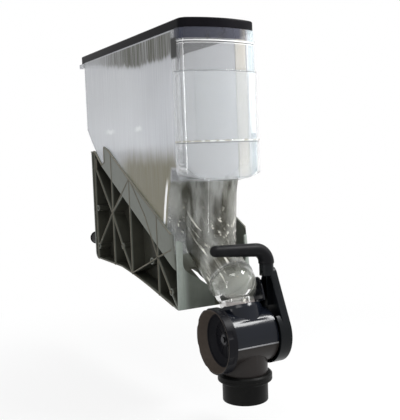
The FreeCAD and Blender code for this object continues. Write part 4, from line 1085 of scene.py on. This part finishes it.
        # Front plates: painted paler on their curved outer corners and near the top, as sheen.
        front = BracketPlastic("bracket_front_plastic", (0.050, 0.055, 0.048), (0.085, 0.092, 0.080), 0.33,
                               specular=0.35, edge=(0.25, 0.28, 0.255), face_from=0.052, face_to=0.072)
        for side, word in ((-1, "left"), (1, "right")):
            node = "bracket_" + word
            half = shop.refined(node, node + "_moulding", self.edge, carve=self.rounded_corner(side))
            shop.install(half, Body.BIN, Slot.BRACKET, grey, node)
            shop.install(self.ribbing(side), Body.BIN, Slot.BRACKET, rims)
            shop.install(self.front_plate(side), Body.BIN, Slot.BRACKET, front)
        black = MouldedPlastic("spacer_black_plastic", (0.005, 0.005, 0.005), (0.012, 0.012, 0.011), 0.45)
        shop.install(self.standoffs(), Body.BIN, Slot.BLACK, black, "rear_standoffs")
        shop.keep("bracket_screws", BrightSteel("bright_steel"))


@dataclass
class Valve:
    """Drum housing, outlet nozzle and the small parts inside."""

    nozzle_top: float = -0.187895
    ring_radius: float = 0.0473
    tube_radius: float = 0.0395
    bore_radius: float = 0.0355
    throat_radius: float = 0.04005
    length: float = 0.049
    socket: float = 0.005
    neck_top: float = 0.0475
    drum_end: float = -0.0450
    drum_radius: float = 0.047
    parting_angle: float = 188.5
    seal_span: tuple = (0.0488, 0.0520, 0.0308, 0.0372)
    # Collar's section: height up the inlet, radius, rounding.
    collar_section: tuple = ((0.0455, 0.0312, 0.0004), (0.0455, 0.0405, 0.0), (0.0470, 0.0411, 0.0004),
                             (0.0530, 0.0388, 0.0012), (0.0530, 0.0376, 0.0004), (0.0486, 0.0376, 0.0003),
                             (0.0486, 0.0312, 0.0004))
    # Lock tab and its foot: degrees to each side, low, high, inner and outer radius, bow of the top.
    tab_arcs: tuple = ((30, 0.0545, 0.0980, 0.0467, 0.0493, 0.0235), (14, 0.0545, 0.0580, 0.0405, 0.0480, 0.0),
                       (14, 0.0480, 0.0580, 0.0378, 0.0412, 0.0))
    # Parting line's section: degrees from its middle, and height over the drum.
    line_degrees: tuple = (-1.7, -1.2, 1.2, 1.7, 1.7, -1.7)
    line_heights: tuple = (-0.0002, 0.0006, 0.0006, -0.0002, -0.0010, -0.0010)
    line_end: float = 0.0405
    ridge_degrees: float = 26.0

    def longer_drum(self, points: np.ndarray) -> np.ndarray:
        """Housing's points with a drum that reaches the knob, and the ridge along it laid flat.

        Points past the left end move along X to the new end. Points of the ridge move towards the
        axis, to drum radius / own radius of their distance.
        """
        offset = points - np.array([0, VALVE_Y, VALVE_Z])
        moved = points.copy()
        moved[:, 0] = np.where(points[:, 0] < -0.040, self.drum_end, points[:, 0])
        reach = np.hypot(offset[:, 1], offset[:, 2])
        below = np.degrees(np.arctan2(-offset[:, 2], -offset[:, 1]))
        above = reach - self.drum_radius
        ridge = (np.abs(below - self.ridge_degrees) < 6) & (above > 0) & (above < 0.0015)
        flat = np.where(ridge, self.drum_radius / np.maximum(reach, 1e-6), 1) - 1
        moved[:, 1:] += flat[:, None] * offset[:, 1:]
        return moved

    def low_neck(self, shape: bmesh.types.BMesh) -> None:
        """Cut off the housing's collar above its neck, and close the cut."""
        axis = Vector((0, math.sin(LEAN), math.cos(LEAN)))
        cut_off(shape, Vector((0, VALVE_Y, VALVE_Z)) + axis * self.neck_top, axis)
        bmesh.ops.recalc_face_normals(shape, faces=shape.faces)

    def collar(self) -> bpy.types.Object:
        """Plain collar turned about the leaning axis, with a curved lock tab on its right.

        The tab and its foot are arcs of rings: a section in height and radius is carried round
        from minus to plus an angle. At an angle t the top is at high - bow + sqrt(bow^2 -
        (outer sin t)^2), or at high where bow is 0.
        """
        skin = Skin()
        middle = (0, VALVE_Y, VALVE_Z)
        skin.grid(leaning(lathed(softened(self.collar_section), ORIGIN, "Z", 144), middle), wrap_rows=True)
        for span, low, high, inner, outer, bow in self.tab_arcs:
            turn = np.radians(span * np.sin(np.linspace(-math.pi / 2, math.pi / 2, 41)))[:, None]
            edge = softened([(low, inner, 0.0006), (high, inner, 0.0008), (high, outer, 0.0008), (low, outer, 0.0006)])
            share = np.clip((edge[:, 0] - low) / (high - low), 0, 1)
            top = high - bow + np.sqrt(np.maximum(bow ** 2 - (outer * np.sin(turn)) ** 2, 0))
            height = low + share * (top - low)
            radius = np.broadcast_to(edge[:, 1], height.shape)
            skin.closed(leaning(np.stack([radius * np.cos(turn), radius * np.sin(turn), height], 2), middle))
        return skin.piece("inlet_collar", 30.0)

    def parting_line(self) -> bpy.types.Object:
        """Narrow raised line along the drum, at its parting angle."""
        spread = np.radians(self.parting_angle + np.array(self.line_degrees))
        reach = self.drum_radius + np.array(self.line_heights)
        x = np.array([self.drum_end + 0.0004, self.line_end])[:, None]
        y, z = VALVE_Y + reach * np.cos(spread), VALVE_Z + reach * np.sin(spread)
        grid = np.stack(np.broadcast_arrays(x, y, z), 2)
        skin = Skin()
        skin.closed(grid)
        return skin.piece("drum_parting_line", 30.0)

    def seal(self) -> bpy.types.Object:
        """Ring of rubber between the collar and the spout: a closed profile turned about the leaning axis."""
        low, high, inner, outer = self.seal_span
        profile = softened([(low, inner, 0.0004), (low, outer, 0.0006), (high, outer, 0.0008), (high, inner, 0.0004)])
        skin = Skin()
        skin.grid(leaning(lathed(profile, ORIGIN, "Z", 96), (0, VALVE_Y, VALVE_Z)), wrap_rows=True)
        return skin.piece("collar_seal")

    def nozzle(self) -> bpy.types.Object:
        """Outlet tube with its bag ring: a closed profile turned about Z."""
        r, ring = self.tube_radius, self.ring_radius
        profile = softened([(-self.socket, self.bore_radius, 0.0004), (-self.socket, self.throat_radius, 0.0),
                            (0, self.throat_radius, 0.0004), (0, ring - 0.003, 0.0012), (-0.003, ring, 0.0014),
                            (-0.0075, ring, 0.0008), (-0.0082, ring - 0.0007, 0.0004), (-0.0089, ring, 0.0008),
                            (-0.013, ring, 0.0014), (-0.016, r + 0.0016, 0.0014), (-0.0176, r, 0.0012),
                            (-self.length, r, 0.0012), (-self.length, self.bore_radius, 0.0010)])
        skin = Skin()
        centre = Vector((0, VALVE_Y, self.nozzle_top))
        skin.grid(lathed(profile, centre, "Z", 144), wrap_rows=True)
        return skin.piece("outlet_tube")

    def build(self, shop: Workshop) -> None:
        """Build and dress the pieces."""
        gloss = DrumPlastic("polished_drum_plastic", (0.004, 0.005, 0.009), (0.008, 0.010, 0.015), 0.16, specular=0.22)
        housing = shop.refined("valve_housing", "drum_housing", 0.0005, move=self.longer_drum, carve=self.low_neck)
        shop.install(housing, Body.BIN, Slot.GLOSS, gloss, "valve_housing")
        shop.install(self.collar(), Body.BIN, Slot.GLOSS, gloss)
        # The parting line is pale grey on the black drum: a painted highlight along it.
        line = MouldedPlastic("line_highlight_plastic", (0.20, 0.20, 0.21), (0.34, 0.34, 0.35), 0.25)
        shop.install(self.parting_line(), Body.BIN, Slot.GLOSS, line)
        rubber = SoftRubber("seal_rubber_skin", (0.02, 0.02, 0.02), (0.05, 0.05, 0.045))
        shop.install(self.seal(), Body.BIN, Slot.SEAL, rubber, "collar_gasket")
        matt = MouldedPlastic("matt_nozzle_plastic", (0.004, 0.004, 0.004), (0.009, 0.009, 0.008), 0.42)
        shop.install(self.nozzle(), Body.BIN, Slot.MATT, matt, "outlet_nozzle")
        for node in ("stop_pin", "return_spring", "axle", "lid_hinge_pins"):
            shop.keep(node, BrightSteel("bright_steel"))
        shop.keep("axle_bush", MouldedPlastic("pale_bush_plastic", (0.62, 0.60, 0.54), (0.72, 0.70, 0.65), 0.4))
        shop.keep("gate", MouldedPlastic("gate_plastic", (0.008, 0.009, 0.011), (0.014, 0.015, 0.018), 0.25))


@dataclass
class TurningGroup:
    """End knob, lever and grip, which turn with the gate."""

    grip_x: float = 0.051
    grip_low: float = 0.1213
    bend_low: float = 0.123
    bend_radius: float = 0.024
    cuff_radius: float = 0.0140
    thick_radius: float = 0.0118
    grip_tilt: float = 3.8
    grip_end: float = -0.060
    grip_radius: float = 0.0098
    knob_radius: float = 0.056
    knob_outer: float = -0.0615
    knob_inner: float = -0.0455
    knob_floor: float = -0.0355
    floor_radius: float = 0.034
    rim: float = 0.003
    spigot_radius: float = 0.0437
    scallop_radius: float = 0.022
    scallop_depth: float = 0.0016
    bore: float = 0.00605
    scallops: int = 8
    ribs: int = 12
    rib_half_width: float = 0.00105
    rib_height: float = 0.0008
    around: int = 576

    def grip(self) -> bpy.types.Object:
        """Sleeve: a round bar up a thick cuff, round an arc where it narrows, and along a tilted line."""
        low, bend = VALVE_Z + self.grip_low, VALVE_Z + self.bend_low
        tilt = math.radians(self.grip_tilt)
        r, big = self.grip_radius, self.bend_radius
        rise = np.linspace(0, 1, 6)[:, None] * np.array([0, 0, bend - low]) + np.array([self.grip_x, VALVE_Y, low])
        turn = np.linspace(0, math.pi / 2 - tilt, 22)[1:]
        middle = np.array([self.grip_x - big, VALVE_Y, bend])
        arc = middle + big * np.stack([np.cos(turn), np.zeros_like(turn), np.sin(turn)], 1)
        way = np.array([-math.cos(tilt), 0, math.sin(tilt)])
        run = (arc[-1][0] - (self.grip_end + r)) / math.cos(tilt)
        line = arc[-1] + np.linspace(0, 1, 40)[1:, None] * way * run
        dome = np.linspace(0, math.pi / 2, 12)[1:-1]
        tip = line[-1] + np.sin(dome)[:, None] * way * r
        path = np.concatenate([rise, arc, line, tip])
        steps = np.linalg.norm(np.diff(path, axis=0, prepend=path[:1]), axis=1).cumsum()
        width = np.full(len(path), r)
        width[:len(rise)] = self.cuff_radius
        thick = self.thick_radius
        width[len(rise):len(rise) + len(arc)] = self.cuff_radius + (thick - self.cuff_radius) * turn / turn[-1]
        width[len(rise) + len(arc):-len(dome)] = np.linspace(thick, r, len(line))
        width[-len(dome):] = r * np.cos(dome)
        width *= 1 - 0.06 * np.exp(-(steps / 0.0010) ** 2)
        across = np.tile(np.array([0.0, 1.0, 0.0]), (len(path), 1))
        skin = Skin()
        index = skin.grid(swept(path, width, across, 48))
        skin.cap(index[-1], line[-1] + way * r)
        skin.cap(index[0], path[0])
        return skin.piece("grip_skin")

    def knob(self) -> bpy.types.Object:
        """Recessed end knob.

        A closed profile is turned about X. Where it lies on the outside, the radius at an angle a
        from a scallop's middle is the smaller of the knob's radius and the near side of a circle:
        d cos a - sqrt(s^2 - d^2 sin^2 a). On the recessed floor, narrow radial ribs stand out.
        """
        rim_inner = self.knob_radius - self.rim
        bend_x = self.knob_outer + (self.knob_floor - self.knob_outer) * 2 / 3
        bend_r = self.floor_radius + (rim_inner - self.floor_radius) / 2
        chord = np.array([[self.knob_outer, rim_inner], [bend_x, bend_r], [self.knob_floor, self.floor_radius]])
        share = np.linspace(0, 1, 18)[:, None]
        pull = 2 * chord[1] - (chord[0] + chord[2]) / 2
        hollow = (1 - share) ** 2 * chord[0] + 2 * share * (1 - share) * pull + share ** 2 * chord[2]
        floor_r = np.linspace(self.floor_radius, 0.0135, 26)[1:]
        floor = np.stack([np.full_like(floor_r, self.knob_floor), floor_r], 1)
        boss = softened([(self.knob_floor, 0.0132, 0), (self.knob_floor, 0.012, 0.0008),
                         (self.knob_floor - 0.003, 0.012, 0.0006), (self.knob_floor - 0.003, self.bore, 0.0003),
                         (self.knob_floor + 0.003, self.bore, 0), (self.knob_floor + 0.003, self.spigot_radius, 0.0003),
                         (self.knob_inner, self.spigot_radius, 0.0), (self.knob_inner, self.knob_radius, 0.0009)],
                        closed=False)[1:]
        side_x = np.linspace(self.knob_inner - 0.001, self.knob_outer + 0.0016, 24)
        side = np.stack([side_x, np.full_like(side_x, self.knob_radius)], 1)
        lip = softened([(self.knob_outer + 0.0016, self.knob_radius, 0), (self.knob_outer, self.knob_radius, 0.0014),
                        (self.knob_outer, rim_inner, 0)], closed=False)[1:-1]
        profile = np.concatenate([hollow, floor, boss, side, lip])
        grid = lathed(profile, ORIGIN, "X", self.around)
        turn = np.linspace(0, FULL_TURN, self.around, endpoint=False)[None]
        along, radius = profile[:, :1], profile[:, 1:2]
        pitch = FULL_TURN / self.scallops
        near = turn % pitch - pitch / 2
        reach = self.knob_radius + self.scallop_radius - self.scallop_depth
        inside = np.maximum(self.scallop_radius ** 2 - (reach * np.sin(near)) ** 2, 0)
        cut = np.where(inside > 0, reach * np.cos(near) - np.sqrt(inside), self.knob_radius)
        depth = np.maximum(self.knob_radius - cut, 0)
        fade = np.clip((self.knob_outer + 0.0112 - along) / 0.0022, 0, 1)
        fade = fade * fade * (3 - 2 * fade)
        on_side = radius > self.knob_radius - 0.0025
        scale = 1 - np.where(on_side, depth * fade / self.knob_radius, 0)
        grid[..., 1:] *= scale[..., None]
        step = FULL_TURN / self.ribs
        off = np.abs((turn + step / 2) % step - step / 2) * radius
        rib = np.clip((self.rib_half_width - off) / 0.0004, 0, 1)
        flat = np.abs(along - self.knob_floor) < 1e-6
        on_floor = flat & (radius < self.floor_radius - 0.0004) & (radius > 0.0138)
        grid[..., 0] -= np.where(on_floor, rib * self.rib_height, 0)
        grid += np.array([0, VALVE_Y, VALVE_Z])
        skin = Skin()
        skin.grid(grid, wrap_rows=True)
        return skin.piece("end_knob_moulding", 35.0)

    def build(self, shop: Workshop) -> None:
        """Build and dress the pieces."""
        knob = DishPlastic("knob_plastic", (0.004, 0.004, 0.006), (0.008, 0.008, 0.010), 0.36)
        shop.install(self.knob(), Body.ROTOR, Slot.MATT, knob, "end_knob")
        lever = MouldedPlastic("lever_plastic", (0.003, 0.004, 0.005), (0.007, 0.008, 0.010), 0.30, specular=0.14)
        shop.install(shop.refined("lever_arm", "lever_moulding", 0.0006), Body.ROTOR, Slot.BLACK, lever, "lever_arm")
        rubber = SoftRubber("grip_skin_rubber", (0.005, 0.005, 0.006), (0.012, 0.012, 0.013), 0.45)
        shop.install(self.grip(), Body.ROTOR, Slot.GRIP, rubber, "grip_sleeve")
        shop.keep("grip_rod", BrightSteel("bright_steel"))
        dark = BrightSteel("blackened_steel", (0.06, 0.06, 0.065), 0.30)
        for node in ("knob_washer", "knob_screw", "lever_washer", "lever_screw"):
            shop.keep(node, dark)


# ---- studio


@dataclass(frozen=True)
class Softbox:
    """One rectangular lamp, aimed at a point."""

    name: str
    at: Colour
    aim: Colour
    width: float
    height: float
    power: float
    colour: Colour = (1.0, 1.0, 1.0)

    def build(self) -> None:
        """Make the lamp. It lights the object and shows in reflections, but not to the camera."""
        data = bpy.data.lights.new(self.name, "AREA")
        data.shape = "RECTANGLE"
        data.size, data.size_y = self.width, self.height
        data.energy = self.power
        data.color = self.colour
        lamp = bpy.data.objects.new(self.name, data)
        lamp.location = self.at
        lamp.rotation_euler = (Vector(self.aim) - Vector(self.at)).to_track_quat("-Z", "Y").to_euler()
        lamp.visible_camera = False
        bpy.context.scene.collection.objects.link(lamp)


@dataclass(frozen=True)
class Studio:
    """Pale floor, plain world, soft lamps and the camera."""

    floor_z: float = -0.30
    floor_size: float = 6.0
    world_light: float = 0.60
    focal: float = 62.307
    eye: Colour = (-0.61924, -1.54641, 0.19360)
    right: Colour = (0.87618, -0.48062, -0.03630)
    up: Colour = (0.07240, 0.05678, 0.99576)
    forward: Colour = (0.47652, 0.87509, -0.08455)

    @staticmethod
    def _seen(recipe: Recipe) -> Tap:
        """1 for rays from the camera, from gloss and through clear pieces."""
        kinds = [recipe.node("ShaderNodeLightPath", {}, {}, name)
                 for name in ("Is Camera Ray", "Is Glossy Ray", "Is Transmission Ray")]
        return kinds[0].larger(kinds[1]).larger(kinds[2])

    def floor(self) -> None:
        """Pale floor that looks white and keeps the object's shadow."""
        half = self.floor_size / 2
        line = np.linspace(-half, half, 9)
        x, y = np.meshgrid(line, line, indexing="ij")
        skin = Skin()
        skin.grid(np.stack([x, y - 0.3, np.full_like(x, self.floor_z)], 2), wrap_columns=False)
        floor = skin.piece("studio_floor")
        recipe = Recipe("studio_floor_paint")
        speckle = recipe.noise((9.0, 9.0, 9.0), 3.0)
        recipe.done(Base_Color=recipe.blend(speckle, (0.88, 0.88, 0.88), (0.90, 0.90, 0.90)), Roughness=0.9,
                    Specular_IOR_Level=0.1)
        glow = recipe.tree.nodes.new("ShaderNodeEmission")
        glow.inputs["Strength"].default_value = 1.0
        across, deep = recipe.axis("X"), recipe.axis("Y") + 0.45
        far = recipe.maths("SQRT", across * across + deep * deep).band(0.35, 1.1)
        share = self._seen(recipe) * (0.80 + far * 0.20)
        recipe.show(recipe.mixed(share, recipe.shader.outputs[0], glow.outputs[0]))
        floor.data.materials.append(recipe.material)

    def world(self) -> None:
        """Plain world: white where it is seen, softer where it only lights."""
        world = bpy.data.worlds.new("plain_room")
        bpy.context.scene.world = world
        world.use_nodes = True
        tree = world.node_tree
        tree.nodes.clear()
        output = tree.nodes.new("ShaderNodeOutputWorld")
        paths = tree.nodes.new("ShaderNodeLightPath")
        share = paths.outputs["Is Camera Ray"]
        for ray in ("Is Glossy Ray", "Is Transmission Ray"):
            either = tree.nodes.new("ShaderNodeMath")
            either.operation = "MAXIMUM"
            tree.links.new(share, either.inputs[0])
            tree.links.new(paths.outputs[ray], either.inputs[1])
            share = either.outputs[0]
        lit = tree.nodes.new("ShaderNodeBackground")
        lit.inputs["Color"].default_value = (0.97, 0.985, 1.0, 1.0)
        lit.inputs["Strength"].default_value = self.world_light
        shown = tree.nodes.new("ShaderNodeBackground")
        shown.inputs["Color"].default_value = (1.0, 1.0, 1.0, 1.0)
        mixed = tree.nodes.new("ShaderNodeMixShader")
        tree.links.new(share, mixed.inputs[0])
        tree.links.new(lit.outputs[0], mixed.inputs[1])
        tree.links.new(shown.outputs[0], mixed.inputs[2])
        tree.links.new(mixed.outputs[0], output.inputs["Surface"])

    def camera(self) -> None:
        """Camera where the photograph was taken from."""
        data = bpy.data.cameras.new("photo_camera")
        data.sensor_fit = "HORIZONTAL"
        data.sensor_width = 36.0
        data.lens = self.focal
        data.clip_start = 0.05
        data.clip_end = 50.0
        camera = bpy.data.objects.new("photo_camera", data)
        turn = Matrix((self.right, self.up, tuple(-c for c in self.forward))).transposed()
        camera.matrix_world = Matrix.Translation(self.eye) @ turn.to_4x4()
        bpy.context.scene.collection.objects.link(camera)
        bpy.context.scene.camera = camera

    def build(self) -> None:
        """Make the whole studio."""
        self.camera()
        self.floor()
        self.world()
        aim = (0.0, -0.40, 0.05)
        drum = (0.0, -0.584, -0.094)
        warm = (1.0, 0.80, 0.35)
        lamps = (
            Softbox("key_box", (-0.6, -1.3, 1.5), aim, 0.7, 0.5, 6.0),
            Softbox("band_box", (0.63, -0.90, 0.88), drum, 0.5, 0.22, 12.0),
            Softbox("left_strip", (-1.40, -1.15, 0.10), (-0.06, -0.43, 0.0), 0.10, 1.0, 3.0),
            Softbox("right_fill", (1.5, -0.9, 0.5), aim, 0.5, 0.5, 2.0),
            Softbox("warm_bulb_low", (-0.30, -1.9, 0.95), aim, 0.05, 0.05, 0.5, warm),
            Softbox("warm_bulb_high", (0.15, -1.7, 1.30), aim, 0.05, 0.05, 0.5, warm),
        )
        for lamp in lamps:
            lamp.build()
        bpy.context.scene.view_settings.view_transform = "Standard"


def main() -> None:
    """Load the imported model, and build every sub-assembly round it."""
    logging.basicConfig(level=logging.INFO, format="%(message)s")
    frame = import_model()
    shop = Workshop(frame)
    Studio().build()
    for part in (Hopper(), Bracket(), Valve(), TurningGroup()):
        part.build(shop)
        log.info("built %s", type(part).__name__)


if __name__ == "__main__":
    main()
